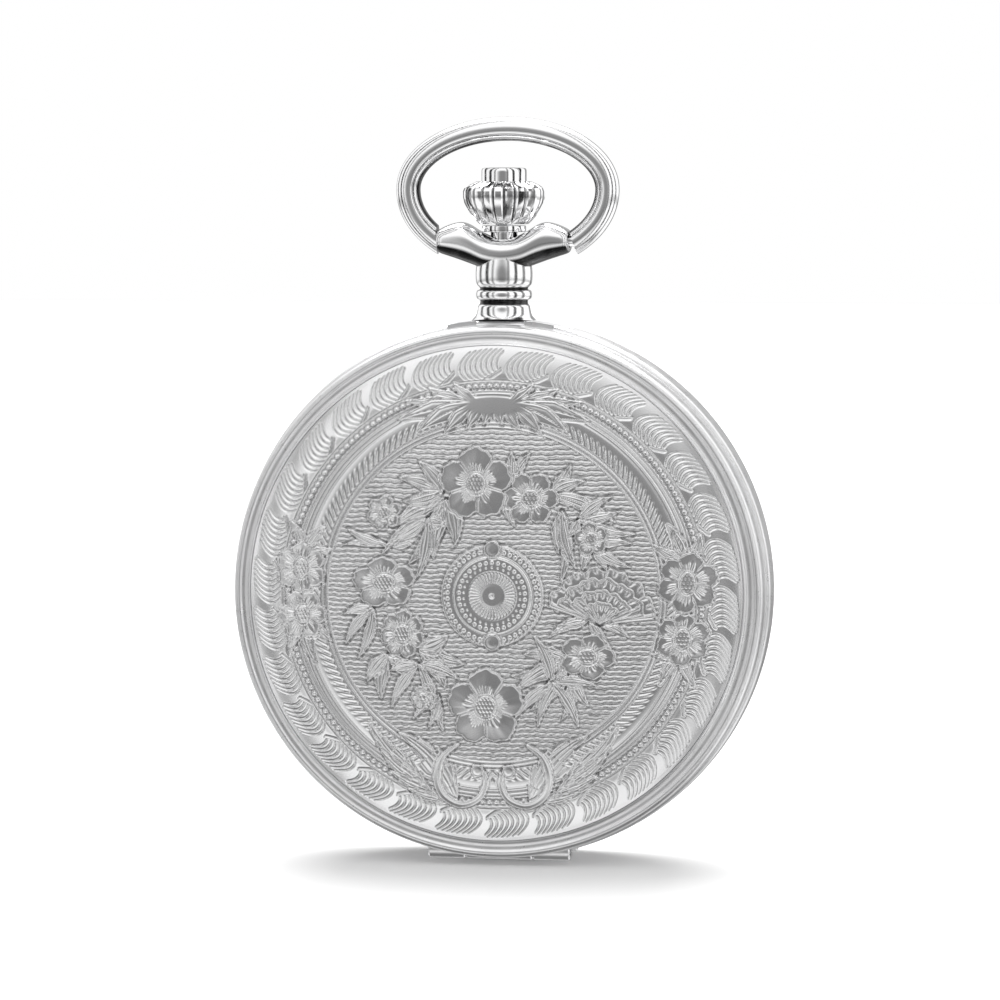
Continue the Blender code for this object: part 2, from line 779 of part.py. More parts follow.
def make_screw(name, plan):
    """A slotted cheese-head screw from the back, its shank inside the plate."""
    shank_end = PLATE_BACK + 0.9
    under_head = SCREW_HEAD_BACK + 0.38
    profile = [
        (0, shank_end),
        (0.4, shank_end),
        (0.4, under_head),
        (0.75, under_head),
        (0.75, SCREW_HEAD_BACK),
        (0, SCREW_HEAD_BACK),
    ]
    screw = turned(name, profile, across(plan), 8)
    low = (plan[0] - 1, -SCREW_HEAD_BACK - 0.15, plan[1] - 0.1)
    high = (plan[0] + 1, -SCREW_HEAD_BACK + 0.2, plan[1] + 0.1)
    cut(screw, block(f"{name}_slot", low, high))
    return keep(screw, "blued_steel")


def make_jewel(name, plan):
    return keep(tube(name, 0.56, 0.2, 2.72, 3.3, across(plan), 8), "ruby")


# Power and train


def make_wheel(name, plan, outlines, depths, arbor, material="brass", pinion=None):
    """A spoked plate on its arbor, with a pinion on the same arbor where it has one."""
    wheel = slab(name, outlines, *depths, across(plan))
    join(wheel, turned(f"{name}_arbor", arbor, across(plan), 10))
    if pinion:
        leaves, pinion_low, pinion_high = pinion
        join(wheel, slab(f"{name}_pinion", [leaves], pinion_low, pinion_high, across(plan)))
    return keep(wheel, material)


def pivoted_arbor(body_r, pivot_r, low, body_low, body_high, high):
    return [
        (0, high),
        (pivot_r, high),
        (pivot_r, body_high),
        (body_r, body_high),
        (body_r, body_low),
        (pivot_r, body_low),
        (pivot_r, low),
        (0, low),
    ]


def make_barrel():
    """The drum, open to the front, with the teeth round its back edge."""
    edge = teeth(BARREL_TEETH, BARREL_MODULE, BARREL_PHASE)
    drum = slab("mainspring_barrel", [edge, circle(0.95, count=12)], 4.65, 4.95, across(BARREL))
    join(drum, tube("drum_wall", 7.1, 6.7, 4.9, 5.7, across(BARREL), 32))
    return keep(drum, "brass")


def make_barrel_arbor():
    profile = [
        (0, 6.9),
        (0.2, 6.9),
        (0.2, 6.1),
        (1.2, 5.9),
        (1.2, 5.05),
        (0.85, 5.0),
        (0.85, 4.0),
        (0.42, 3.9),
        (0.42, 2.15),
        (0, 2.15),
    ]
    arbor = turned("barrel_arbor", profile, across(BARREL), 12)
    cut(arbor, rod("ratchet_screw_hole", 0.26, 1.8, 3.1, across(BARREL), 8))
    return keep(arbor, "bright_steel")


def make_ratchet_screw():
    profile = [(0, 3.0), (0.2, 3.0), (0.2, 2.1), (1.3, 2.1), (1.3, 1.8), (0, 1.8)]
    screw = turned("ratchet_screw", profile, across(BARREL), 12)
    x, z = BARREL
    cut(screw, block("ratchet_screw_slot", (x - 1.5, -1.95, z - 0.12), (x + 1.5, -1.6, z + 0.12)))
    return keep(screw, "blued_steel")


def spiral(inner, outer, turns, per_turn):
    count = int(turns * per_turn) + 1
    return [
        polar(inner + (outer - inner) * i / (count - 1), 360 * turns * i / (count - 1))
        for i in range(count)
    ]


def spiral_strip(inner, outer, turns, per_turn, half):
    """A flat spring's edge: a spiral, its two sides a half-thickness either way."""
    inside = spiral(inner - half, outer - half, turns, per_turn)
    outside = spiral(inner + half, outer + half, turns, per_turn)
    return outside + inside[::-1]


def make_mainspring():
    strip = spiral_strip(1.6, 6.4, turns=5, per_turn=11, half=0.08)
    return keep(slab("mainspring", [strip], 5.1, 5.6, across(BARREL)), "spring_steel")


def make_hairspring():
    strip = spiral_strip(0.75, 2.9, turns=4, per_turn=12, half=0.04)
    return keep(slab("hairspring", [strip], 3.9, 4.05, across(BALANCE)), "blued_steel")


def make_ratchet_wheel():
    edge = teeth(RATCHET_TEETH, WINDING_MODULE, RATCHET_PHASE, addendum=0.6, dedendum=0.9)
    wheel = slab("ratchet_wheel", [edge, circle(0.46, count=12)], 2.2, 2.6, across(BARREL))
    return keep(wheel, "bright_steel")


def make_crown_wheel():
    """Two wheels on one arbor: the upper turns the ratchet wheel, the lower meets the stem."""
    upper = teeth(CROWN_TEETH, WINDING_MODULE, CROWN_PHASE, addendum=0.6, dedendum=0.9)
    wheel = slab("crown_wheel", [upper], 2.2, 2.6, across(CROWN_WHEEL))
    lower = teeth(CROWN_FACE_TEETH, STEM_MODULE, 90, addendum=0.5, dedendum=0.9)
    join(
        wheel,
        rod("crown_wheel_arbor", 0.62, 2.5, 5.1, across(CROWN_WHEEL), 12),
        slab("crown_wheel_lower", [lower], 4.75, 5.2, across(CROWN_WHEEL)),
    )
    return keep(wheel, "bright_steel")


def make_click():
    """The pawl that stops the ratchet wheel from turning back."""
    plan = arc(0.8, 20, 230, 8, CLICK) + [CLICK_NOSE]
    click = slab("click", [plan, circle(0.32, CLICK, 8)], 2.2, 2.55, across())
    return keep(click, "bright_steel")


def make_click_spring():
    """A bent wire spring behind the click."""
    centre = (CLICK[0] + 0.9, CLICK[1])
    outline = arc(2.4, 150, 60, 8, centre) + arc(2.2, 60, 150, 8, centre)
    return keep(slab("click_spring", [outline], 2.25, 2.5, across()), "spring_steel")


def make_center_wheel():
    edge = teeth(CENTER_TEETH, CENTER_MODULE, CENTER_WHEEL_PHASE)
    leaves = teeth(CENTER_LEAVES, BARREL_MODULE, CENTER_PINION_PHASE)
    arbor = [
        (0, 9.5),
        (0.2, 9.5),
        (0.2, 6.14),
        (0.45, 6.14),
        (0.45, 3.9),
        (0.17, 3.9),
        (0.17, 3.0),
        (0, 3.0),
    ]
    outlines = [edge] + windows(1.6, 5.9, 5, 0.7)
    pinion = (leaves, 4.55, 5.5)
    return make_wheel("center_wheel", CENTER, outlines, (5.8, 6.02), arbor, pinion=pinion)


def make_third_wheel():
    edge = teeth(THIRD_TEETH, THIRD_MODULE, THIRD_WHEEL_PHASE)
    leaves = teeth(THIRD_LEAVES, CENTER_MODULE, THIRD_PINION_PHASE)
    arbor = pivoted_arbor(0.4, 0.15, 2.9, 3.9, 6.14, 7.0)
    outlines = [edge] + windows(1.2, 5.0, 5, 0.6)
    pinion = (leaves, 5.6, 6.1)
    return make_wheel("third_wheel", THIRD, outlines, (4.22, 4.42), arbor, pinion=pinion)


def make_fourth_wheel():
    edge = teeth(FOURTH_TEETH, FOURTH_MODULE, FOURTH_WHEEL_PHASE)
    leaves = teeth(FOURTH_LEAVES, THIRD_MODULE, FOURTH_PINION_PHASE)
    arbor = pivoted_arbor(0.35, 0.16, 2.9, 3.9, 6.14, 8.75)
    outlines = [edge] + windows(1.1, 4.5, 5, 0.5)
    pinion = (leaves, 4.1, 4.6)
    return make_wheel("fourth_wheel", FOURTH, outlines, (5.1, 5.28), arbor, pinion=pinion)


def escape_teeth():
    """Fifteen hooked teeth: each rises slowly and falls back steeply."""
    outline = []
    for i in range(ESCAPE_TEETH):
        angle = 360 * i / ESCAPE_TEETH
        outline.append(polar(ESCAPE_R - 0.75, angle + 2))
        outline.append(polar(ESCAPE_R, angle + 14))
        outline.append(polar(ESCAPE_R - 0.75, angle + 14.5))
    return outline


def make_escape_wheel():
    leaves = teeth(ESCAPE_LEAVES, FOURTH_MODULE, ESCAPE_PINION_PHASE)
    arbor = pivoted_arbor(0.25, 0.14, 2.9, 3.9, 6.14, 7.0)
    outlines = [escape_teeth()] + windows(0.8, 1.9, 4, 0.4)
    pinion = (leaves, 4.95, 5.36)
    return make_wheel(
        "escape_wheel", ESCAPE, outlines, (5.4, 5.6), arbor, "bright_steel", pinion
    )


def towards(start, end, distance, side=0.0):
    """The point this far along the way from start to end, and this far to its left."""
    gap = hypot(end[0] - start[0], end[1] - start[1])
    along = ((end[0] - start[0]) / gap, (end[1] - start[1]) / gap)
    return (
        start[0] + along[0] * distance - along[1] * side,
        start[1] + along[1] * distance + along[0] * side,
    )


def make_pallet_fork():
    """A lever with a pallet each side of the escape wheel and a fork towards the balance staff."""
    fork_half = [(3.75, 0.12), (3.9, 0.6), (3.3, 0.25), (0.45, 0.4)]
    arm_half = [(-0.2, 2.15), (1.35, 2.1), (1.35, 1.8), (0.2, 1.7)]
    left = [towards(PALLET, BALANCE, along, side) for along, side in fork_half]
    left += [towards(PALLET, ESCAPE, along, -side) for along, side in arm_half]
    right = [towards(PALLET, BALANCE, along, -side) for along, side in fork_half]
    right += [towards(PALLET, ESCAPE, along, side) for along, side in arm_half]
    fork = slab("pallet_fork", [left + right[::-1]], 5.38, 5.62, across())
    arbor = pivoted_arbor(0.22, 0.13, 4.9, 5.14, 6.14, 7.0)
    join(fork, turned("pallet_arbor", arbor, across(PALLET), 8))
    return keep(fork, "bright_steel")


def make_pallet_bridge():
    """A small cock over the pallet arbor, on one pillar."""
    corners = [(-0.6, -0.6), (3.8, -0.6), (3.8, 0.6), (-0.6, 0.6)]
    edge = [towards(PALLET, PALLET_FOOT, along, side) for along, side in corners]
    plate = slab("pallet_bridge", [edge, circle(0.2, PALLET, 8)], 4.8, 5.08, across())
    pillar = rod("pallet_bridge_pillar", 0.5, 4.9, FOOT_DEPTHS[1], across(PALLET_FOOT), 8)
    join(plate, pillar)
    return keep(plate, "nickel")


def make_balance_wheel():
    outlines = [circle(5.2, count=36)] + windows(0.9, 4.55, 3, 0.7)
    arbor = pivoted_arbor(0.35, 0.15, 2.9, 3.9, 6.14, 7.0)
    wheel = make_wheel("balance_wheel", BALANCE, outlines, (4.15, 4.6), arbor)
    join(wheel, rod("roller", 0.62, 5.4, 5.6, across(BALANCE), 10))
    return wheel


# Winding, setting and dial side


def make_winding_pinion():
    edge = teeth(WINDING_TEETH, STEM_MODULE, 90 + 180 / WINDING_TEETH, addendum=0.5, dedendum=0.8)
    outlines = [edge, circle(0.64, count=12)]
    pinion = slab("winding_pinion", outlines, 13.25, 14.7, on_stem())
    return keep(pinion, "bright_steel")


def make_sliding_clutch():
    profile = [
        (0.64, 12.9),
        (1.25, 12.9),
        (1.25, 11.9),
        (0.9, 11.8),
        (0.9, 11.2),
        (1.25, 11.1),
        (1.25, 10.3),
        (0.64, 10.3),
    ]
    clutch = turned("sliding_clutch", profile, on_stem(), 10)
    return keep(clutch, "bright_steel")


def make_setting_lever():
    """A lever whose nose stands in the stem's groove."""
    pivot = SETTING_PIVOT
    plan = [
        (pivot[0] - 0.7, pivot[1] - 0.6),
        (pivot[0] + 0.6, pivot[1] - 0.7),
        (-0.45, 15.4),
        (-0.45, 15.9),
        (pivot[0] + 0.2, pivot[1] + 0.8),
        (pivot[0] - 0.7, pivot[1] + 0.6),
    ]
    lever = slab("setting_lever", [plan], 6.95, 7.25, across())
    return keep(lever, "bright_steel")


def make_yoke():
    """A spring arm whose tip stands in the clutch's groove."""
    x, z = YOKE_PIVOT
    plan = [(x - 0.2, z - 0.6), (x + 0.6, z), (x + 0.1, z + 0.8), (1.05, 11.7), (1.05, 11.3)]
    yoke = slab("yoke", [plan], 6.95, 7.25, across())
    return keep(yoke, "bright_steel")


def make_cannon_pinion():
    edge = teeth(CANNON_TEETH, MOTION_MODULE, CANNON_PHASE)
    pinion = slab("cannon_pinion", [edge, circle(0.24, count=10)], 7.45, 7.72, across())
    join(pinion, tube("cannon_tube", 0.42, 0.24, 7.6, 9.55, across(), 12))
    return keep(pinion, "bright_steel")


def make_minute_wheel():
    edge = teeth(MINUTE_TEETH, MOTION_MODULE, MINUTE_PHASE)
    leaves = teeth(MINUTE_LEAVES, HOUR_MODULE, MINUTE_PINION_PHASE)
    bore = circle(0.16, count=8)
    wheel = slab("minute_wheel", [edge, bore], 7.48, 7.68, across(MINUTE))
    join(wheel, slab("minute_wheel_pinion", [leaves, bore], 7.6, 8.1, across(MINUTE)))
    return keep(wheel, "brass")


def make_hour_wheel():
    edge = teeth(HOUR_TEETH, HOUR_MODULE, HOUR_PHASE)
    wheel = slab("hour_wheel", [edge, circle(0.5, count=12)], 7.85, 8.05, across())
    join(wheel, tube("hour_tube", 0.72, 0.5, 7.95, 9.1, across(), 12))
    return keep(wheel, "brass")


def make_dial():
    dial = slab(
        "dial",
        [circle(DIAL_R, count=48), circle(0.8, count=12), circle(0.3, FOURTH, 8)],
        DIAL_BACK,
        DIAL_FRONT,
        across(),
    )
    return keep(dial, "enamel")


def make_hand(name, plan, length, tail, width, eye, bore, low, high, angle):
    """A leaf blade from a round eye, with a tail where there is one; angle is clockwise from 12."""
    open_blade = 25
    right = [(width, length * 0.55), (0.08, length)]
    outline = right + [(-x, z) for x, z in right[::-1]]
    if tail:
        outline += arc(eye, 90 + open_blade, 255, 6) + [(-width, -tail), (width, -tail)]
        outline += arc(eye, 285, 450 - open_blade, 6)
    else:
        outline += arc(eye, 90 + open_blade, 450 - open_blade, 12)
    turn = radians(-angle)
    blade = [
        (plan[0] + x * cos(turn) - z * sin(turn), plan[1] + x * sin(turn) + z * cos(turn))
        for x, z in outline
    ]
    hand = slab(name, [blade, circle(bore, plan, 10)], low, high, across())
    return keep(hand, "blued_steel")


def build():
    make_case_band()
    make_front_lid()
    make_hinge_pin("lid_hinge_pin", LID_HINGE_DEPTH)
    make_back_cover()
    make_hinge_pin("back_hinge_pin", BACK_HINGE_DEPTH)
    make_bezel()
    make_crystal()
    make_lock_spring()
    make_lift_spring()
    make_pendant()
    make_bow()
    make_crown()
    make_push_button()
    make_crown_sleeve()
    make_crown_stem()
    make_movement_ring()
    make_main_plate()
    make_barrel_bridge()
    make_train_bridge()
    make_balance_cock()
    make_pallet_bridge()
    for name, plan in SCREWS.items():
        make_screw(name, plan)
    for name, plan in JEWELS.items():
        make_jewel(name, plan)
    make_barrel()
    make_barrel_arbor()
    make_mainspring()
    make_ratchet_wheel()
    make_ratchet_screw()
    make_crown_wheel()
    make_click()
    make_click_spring()
    make_center_wheel()
    make_third_wheel()
    make_fourth_wheel()
    make_escape_wheel()
    make_pallet_fork()
    make_balance_wheel()
    make_hairspring()
    make_winding_pinion()
    make_sliding_clutch()
    make_setting_lever()
    make_yoke()
    make_cannon_pinion()
    make_minute_wheel()
    make_hour_wheel()
    make_dial()
    make_hand("hour_hand", CENTER, 10.0, 0, 0.75, 1.2, 0.75, 8.93, 9.1, HOUR_ANGLE)
    make_hand("minute_hand", CENTER, 15.2, 0, 0.6, 0.9, 0.45, 9.28, 9.44, MINUTE_ANGLE)
    make_hand("second_hand", FOURTH, 3.9, 1.4, 0.16, 0.45, 0.19, 8.67, 8.77, SECOND_ANGLE)


build()
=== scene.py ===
"""Looks of the hunter pocket watch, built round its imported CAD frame, in metres, +Z up.

The front lid faces -Y and the back cover +Y. Lengths in the plans below are in mm: u runs right, v runs
up, and a depth counts forward from the back cover's flat face, which is the world's -y.
"""

import json
from math import cos, hypot, pi, radians, sin

import bmesh
import bpy
import numpy as np
from mathutils import Matrix, Vector


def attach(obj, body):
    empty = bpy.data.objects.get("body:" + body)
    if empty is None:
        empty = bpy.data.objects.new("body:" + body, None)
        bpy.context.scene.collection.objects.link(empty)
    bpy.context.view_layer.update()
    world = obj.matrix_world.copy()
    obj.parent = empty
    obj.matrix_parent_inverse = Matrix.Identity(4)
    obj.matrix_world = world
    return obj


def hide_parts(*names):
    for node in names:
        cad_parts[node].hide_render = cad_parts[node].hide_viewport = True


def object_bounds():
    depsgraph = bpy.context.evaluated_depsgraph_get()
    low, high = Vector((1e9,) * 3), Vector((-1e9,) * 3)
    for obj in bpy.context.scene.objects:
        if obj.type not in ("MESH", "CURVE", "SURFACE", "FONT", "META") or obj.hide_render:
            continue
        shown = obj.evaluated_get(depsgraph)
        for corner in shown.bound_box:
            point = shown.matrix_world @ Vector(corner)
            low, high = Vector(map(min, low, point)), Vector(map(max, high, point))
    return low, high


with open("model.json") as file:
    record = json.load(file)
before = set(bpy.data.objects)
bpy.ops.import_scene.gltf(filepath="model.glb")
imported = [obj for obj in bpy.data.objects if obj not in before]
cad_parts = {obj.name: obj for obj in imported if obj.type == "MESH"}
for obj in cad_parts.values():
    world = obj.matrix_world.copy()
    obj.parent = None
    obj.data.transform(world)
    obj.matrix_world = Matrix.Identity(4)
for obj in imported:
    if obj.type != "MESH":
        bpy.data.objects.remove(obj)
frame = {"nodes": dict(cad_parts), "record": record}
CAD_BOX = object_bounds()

MM = 0.001

BODY_OF = {node: body for body, nodes in frame["record"]["behaviour"]["bodies"].items() for node in nodes}

# Case, as in the CAD model
CASE_R, LID_R, PANEL_R, LID_INNER_R = 23.5, 23.05, 21.4, 21.7
BAND_INNER_R, BAND_BACK, BAND_FRONT = 21.2, 4.2, 9.0
LID_FOOT, LID_TOP, COVER_FOOT = 9.15, 13.6, 4.05
HINGE_Z, LID_HINGE_DEPTH, BACK_HINGE_DEPTH = -22.6, 9.1, 4.1
KNUCKLE_R, KNUCKLE_HALF, HINGE_HALF, RUNNING_GAP = 0.8, 2.9, 6.2, 0.08
PIN_R, PIN_BORE_R = 0.34, 0.42
LID_WEB_Z, LID_ROOM_Z = (-23.0, -21.9), (-24.2, -21.6)
BAND_GAP_Z, BAND_FOOT_Z = (-24.5, -20.8), (-23.1, -22.1)
STEM_DEPTH, NECK_FOOT, NECK_TOP = 6.6, 22.6, 28.6
BOW_PIVOT_Z, PENDANT_HALF = 30.2, 5.7
BOW_X, BOW_HALF, BOW_WIRE_R = 0.3, 8.66, 1.08
BOW_MID_Z, BOW_RISE, BOW_DROP = 34.6, 5.17, 6.07
DIAL_R, DIAL_BACK, DIAL_FRONT = 19.1, 8.27, 8.6
SECONDS_CENTRE, SECONDS_SINK = (0.0, -10.2), 0.07
PRINT_GAP, PRINT_THICK = 0.002, 0.014
LATHE_STEPS = 240

# Engraved plates: the skin on each panel, its grid and the pattern's smallest step
PLATE_R, PLATE_SKIN = 21.32, 0.42
FRONT_CELLS, BACK_CELLS = 300, 200
PITCH = 0.036
GROUND, HATCH_TOP, DULL_DEPTH, FIELD_R = -0.135, -0.07, 0.17, 14.35

# Camera and studio
VIEW_AZIMUTH, VIEW_ELEVATION, CAMERA_FAR = 8.5, 4.5, 0.35
VIEW_TARGET, FRAME_WIDTH = (-0.00036, -STEM_DEPTH * MM, 0.00768), 0.08696
FLOOR_HALF, FLOOR_NEAR, FLOOR_DROP = 1.6, 0.082, 0.0001
SUN_ENERGY, SUN_ANGLE, SUN_FROM = 3.1, 52, (-0.07, 0.46, 0.88)
# upright dark bands in the studio's walls: turn and half width in degrees, and how dark
DARK_BANDS = ((-66, 6, 0.03), (-104, 6, 0.15), (58, 5, 0.03), (97, 6, 0.2), (26, 3, 0.25), (-40, 3, 0.25))


def polar(radius, angle, centre=(0.0, 0.0)):
    return (centre[0] + radius * cos(radians(angle)), centre[1] + radius * sin(radians(angle)))


# ---------------------------------------------------------------- materials


class Nodes:
    """A node tree that is built one call at a time."""

    def __init__(self, tree):
        self.tree = tree

    def feed(self, socket, value):
        """Links an input to another node's output, or sets it to a plain value."""
        if isinstance(value, bpy.types.NodeSocket):
            self.tree.links.new(value, socket)
        else:
            socket.default_value = value

    def node(self, kind, **values):
        """A new node. A value whose name is capitalised, with _ for spaces, goes to that input."""
        made = self.tree.nodes.new("ShaderNode" + kind)
        for key, value in values.items():
            if key[0].isupper():
                self.feed(made.inputs[key.replace("_", " ")], value)
            else:
                setattr(made, key, value)
        return made

    def math(self, operation, a, b=0.0):
        made = self.node("Math", operation=operation)
        self.feed(made.inputs[0], a)
        self.feed(made.inputs[1], b)
        return made.outputs[0]

    def spread(self, value, low, high, to_low=0.0, to_high=1.0, **values):
        """The value mapped from one range to another."""
        ends = dict(From_Min=low, From_Max=high, To_Min=to_low, To_Max=to_high)
        return self.node("MapRange", Value=value, **ends, **values).outputs["Result"]


class Look(Nodes):
    """A Principled material."""

    def __init__(self, name, colour, roughness, metallic=1.0, **values):
        self.material = bpy.data.materials.new(name)
        self.material.use_nodes = True
        super().__init__(self.material.node_tree)
        self.shader = self.tree.nodes["Principled BSDF"]
        self.set(Base_Color=(*colour, 1.0), Roughness=roughness, Metallic=metallic, **values)

    def set(self, **values):
        for key, value in values.items():
            self.feed(self.shader.inputs[key.replace("_", " ")], value)

    def place(self, stretch=(1.0, 1.0, 1.0)):
        """Coordinates on the piece itself, in mm, stretched along its axes."""
        spot = self.node("TexCoord").outputs["Object"]
        return self.node("Mapping", Vector=spot, Scale=[value / MM for value in stretch]).outputs["Vector"]

    def noise(self, size, stretch=(1.0, 1.0, 1.0), detail=3.0):
        """Soft noise whose blotches are about this many mm."""
        place = self.place(stretch)
        made = self.node("TexNoise", Vector=place, Scale=1.0 / size, Detail=detail, Roughness=0.55)
        return made.outputs["Fac"]

    def ramp(self, value, *stops):
        """A colour that changes with the value; each stop is (position, colour)."""
        made = self.node("ValToRGB", Fac=value)
        while len(made.color_ramp.elements) < len(stops):
            made.color_ramp.elements.new(0.5)
        for element, (position, colour) in zip(made.color_ramp.elements, stops):
            element.position = position
            element.color = (*colour, 1.0)
        return made.outputs["Color"]

    def bump(self, height, depth, strength=1.0):
        """Relief this many mm deep where the height runs from 0 to 1, over what is there before."""
        made = self.node("Bump", Height=height, Distance=depth * MM, Strength=strength)
        before = self.shader.inputs["Normal"].links
        if before:
            self.feed(made.inputs["Normal"], before[0].from_socket)
        self.set(Normal=made.outputs["Normal"])


def tones(colour, change):
    """A colour a little darker and a little lighter than this one."""
    return [tuple(min(1.0, c * (1 + step)) for c in colour) for step in (-change, change)]


def metal(name, colour, roughness, grain=(1.0, 1.0, 1.0), grain_size=0.12, grain_depth=0.002, change=0.05):
    """Metal with faint cloudy tarnish, uneven polish and fine grain."""
    look = Look(name, colour, roughness)
    dark, light = tones(colour, change)
    look.set(Base_Color=look.ramp(look.noise(3.0, detail=5.0), (0.3, dark), (0.7, light)))
    wear_and_shade = look.math("ADD", look.noise(1.4, detail=5.0), look.noise(grain_size, grain))
    look.set(Roughness=look.spread(wear_and_shade, 0.7, 1.3, roughness * 0.8, roughness * 1.25))
    look.bump(look.noise(grain_size, grain, detail=2.0), grain_depth)
    return look


def engraved(name, colour, roughness, hollow=0.42):
    """Silver darker and duller where the value kept on the mesh is low and polished where it is high: oxide
    in the cuts of the engraved panels, painted shade on the crown, pendant neck and bow.
    """
    look = Look(name, colour, roughness)
    height = look.node("Attribute", attribute_name="relief").outputs["Fac"]
    cloud = look.noise(2.5, detail=5.0)
    # the kept value with cloudy tone: oxide on the engraved panels, painted shade on the crown, pendant
    # neck and bow
    wear_and_shade = look.math("ADD", height, look.spread(cloud, 0.3, 0.7, -0.06, 0.06))
    shade = look.ramp(
        wear_and_shade,
        (0.0, tuple(hollow * c for c in colour)),
        (0.35, tuple((0.6 + 0.48 * hollow) * c for c in colour)),
        (0.62, tuple(0.95 * c for c in colour)),
        (0.95, tuple(min(1.0, 1.08 * c) for c in colour)),
    )
    look.set(Base_Color=shade)
    dull = look.math("ADD", wear_and_shade, look.spread(look.noise(0.11), 0.3, 0.7, -0.08, 0.08))
    look.set(Roughness=look.spread(dull, 0.0, 1.0, roughness * 1.35, roughness * 0.85))
    look.bump(look.noise(0.09, detail=2.0), 0.0022)
    return look


def striped(name, colour, roughness, pitch):
    """Nickel with the broad straight stripes that a bridge is finished with."""
    look = metal(name, colour, roughness, (0.35, 1.0, 3.0), 0.1, 0.0015)
    place = look.place((1.0, 0.0, 1.0))
    bands = look.node("TexWave", Vector=place, Scale=1.0 / pitch, Distortion=0.15)
    bands.wave_type, bands.bands_direction, bands.wave_profile = "BANDS", "DIAGONAL", "SAW"
    look.bump(bands.outputs["Fac"], 0.03, 0.7)
    return look


def grained_ring(name, colour, roughness):
    """Satin silver whose grain follows the case round."""
    look = metal(name, colour, roughness, (1.0, 1.0, 1.0), 0.16, 0.003)
    x, y, z = look.node("SeparateXYZ", Vector=look.place()).outputs
    squares = look.math("ADD", look.math("MULTIPLY", x, x), look.math("MULTIPLY", z, z))
    parts = (look.math("ARCTAN2", z, x), 4.0), (look.math("SQRT", squares), 9.0), (y, 9.0)
    around, out, deep = (look.math("MULTIPLY", part, scale) for part, scale in parts)
    place = look.node("CombineXYZ", X=around, Y=out, Z=deep).outputs["Vector"]
    lines = look.node("TexNoise", Vector=place, Scale=1.0, Detail=3.0)
    look.bump(lines.outputs["Fac"], 0.004)
    return look


LOOKS = {
    "case_silver": grained_ring("case_silver", (0.86, 0.86, 0.865), 0.32),
    # the next two looks go nearly black where the kept value is low: painted shade in the crown's grooves,
    # the neck's grooves, under the saddle and inside the bow
    "fluted_silver": engraved("fluted_silver", (0.88, 0.88, 0.885), 0.10, 0.12),
    "painted_shade_silver": engraved("painted_shade_silver", (0.88, 0.88, 0.885), 0.17, 0.02),
    "polished_silver": metal("polished_silver", (0.90, 0.90, 0.905), 0.10, grain_depth=0.0012),
    "engraved_front": engraved("engraved_front", (0.84, 0.84, 0.845), 0.22),
    "engraved_back": engraved("engraved_back", (0.84, 0.84, 0.845), 0.34),
    "bright_steel": metal("bright_steel", (0.80, 0.81, 0.83), 0.16, (1, 1, 0.2)),
    "spring_steel": metal("spring_steel", (0.38, 0.41, 0.46), 0.26, (1, 3, 1)),
    "blued_steel": metal("blued_steel", (0.045, 0.085, 0.36), 0.16, change=0.3),
    "blued_screw": metal("blued_screw", (0.06, 0.11, 0.42), 0.2, (1, 6, 1), change=0.3),
    "nickel": metal("nickel", (0.76, 0.75, 0.72), 0.26, (1, 1, 4), 0.15, 0.003),
    "striped_nickel": striped("striped_nickel", (0.78, 0.77, 0.74), 0.24, 3.4),
    "brass": metal("brass", (0.86, 0.66, 0.32), 0.22, grain_size=0.1, change=0.08),
    "gilt": metal("gilt", (0.90, 0.68, 0.30), 0.30, (1, 1, 1), 0.08, 0.004, 0.08),
}


def clouded(name, colour, roughness, cloud, dark, light, detail=3.0, **values):
    """A look without metal, clouded between two colours; cloud is the size of a blotch in mm."""
    look = Look(name, colour, roughness, 0.0, **values)
    look.set(Base_Color=look.ramp(look.noise(cloud, detail=detail), (0.3, dark), (0.7, light)))
    LOOKS[name] = look
    return look


def make_glassy_looks():
    ruby = (0.55, 0.01, 0.07)
    clouded("ruby", ruby, 0.06, 0.35, (0.42, 0.0, 0.05), (0.72, 0.03, 0.14), Coat_Weight=0.6, IOR=1.76)
    clouded("dial_ink", (0.015, 0.015, 0.02), 0.3, 0.3, (0.012, 0.012, 0.016), (0.03, 0.03, 0.04))
    cream, warm, pale = (0.93, 0.925, 0.90), (0.90, 0.895, 0.865), (0.95, 0.945, 0.925)
    enamel = clouded("enamel", cream, 0.16, 4.0, warm, pale, 6.0, Coat_Weight=0.5)
    enamel.set(Roughness=enamel.spread(enamel.noise(0.9), 0.3, 0.7, 0.13, 0.2))
    enamel.bump(enamel.noise(1.1, detail=2.0), 0.004)
    glass = Look("crystal_glass", (1.0, 1.0, 1.0), 0.01, 0.0, Transmission_Weight=1.0, IOR=1.5)
    glass.set(Roughness=glass.spread(glass.noise(2.0), 0.3, 0.7, 0.005, 0.03))
    LOOKS["crystal_glass"] = glass


make_glassy_looks()


# ---------------------------------------------------------------- mesh helpers


def in_scene(name, data):
    """A new object that shows this data."""
    obj = bpy.data.objects.new(name, data)
    bpy.context.scene.collection.objects.link(obj)
    return obj


def finished(name, mesh, node, look, sharp=32, replaced=True):
    """The mesh as a named piece that moves as the node does and, unless it only lies on it, replaces it."""
    mesh.validate()
    obj = in_scene(name, mesh)
    mesh.materials.append(LOOKS[look].material)
    if sharp:
        mesh.shade_smooth()
        mesh.set_sharp_from_angle(angle=radians(sharp))
    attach(obj, BODY_OF[node])
    if replaced:
        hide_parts(node)


def face_up(points):
    """Plan points (u, v, forward) in mm as world points in metres."""
    points = np.asarray(points, float)
    return np.stack([points[..., 0], -points[..., 2], points[..., 1]], axis=-1) * MM


def about_depth(u=0.0, v=0.0):
    """For lathe: turns (radius, depth) round a line from front to back."""

    def around(radius, depth, angle):
        plan = [u + radius * np.cos(angle), v + radius * np.sin(angle), depth + 0 * angle]
        return face_up(np.stack(plan, axis=-1))

    return around


def about_x(y, z, middle=0.0):
    """For lathe: turns (radius, x) round a line from side to side."""

    def around(radius, x, angle):
        c, s = np.cos(angle), np.sin(angle)
        return np.stack([middle + x + 0 * angle, y + radius * c, z + radius * s], axis=-1) * MM

    return around


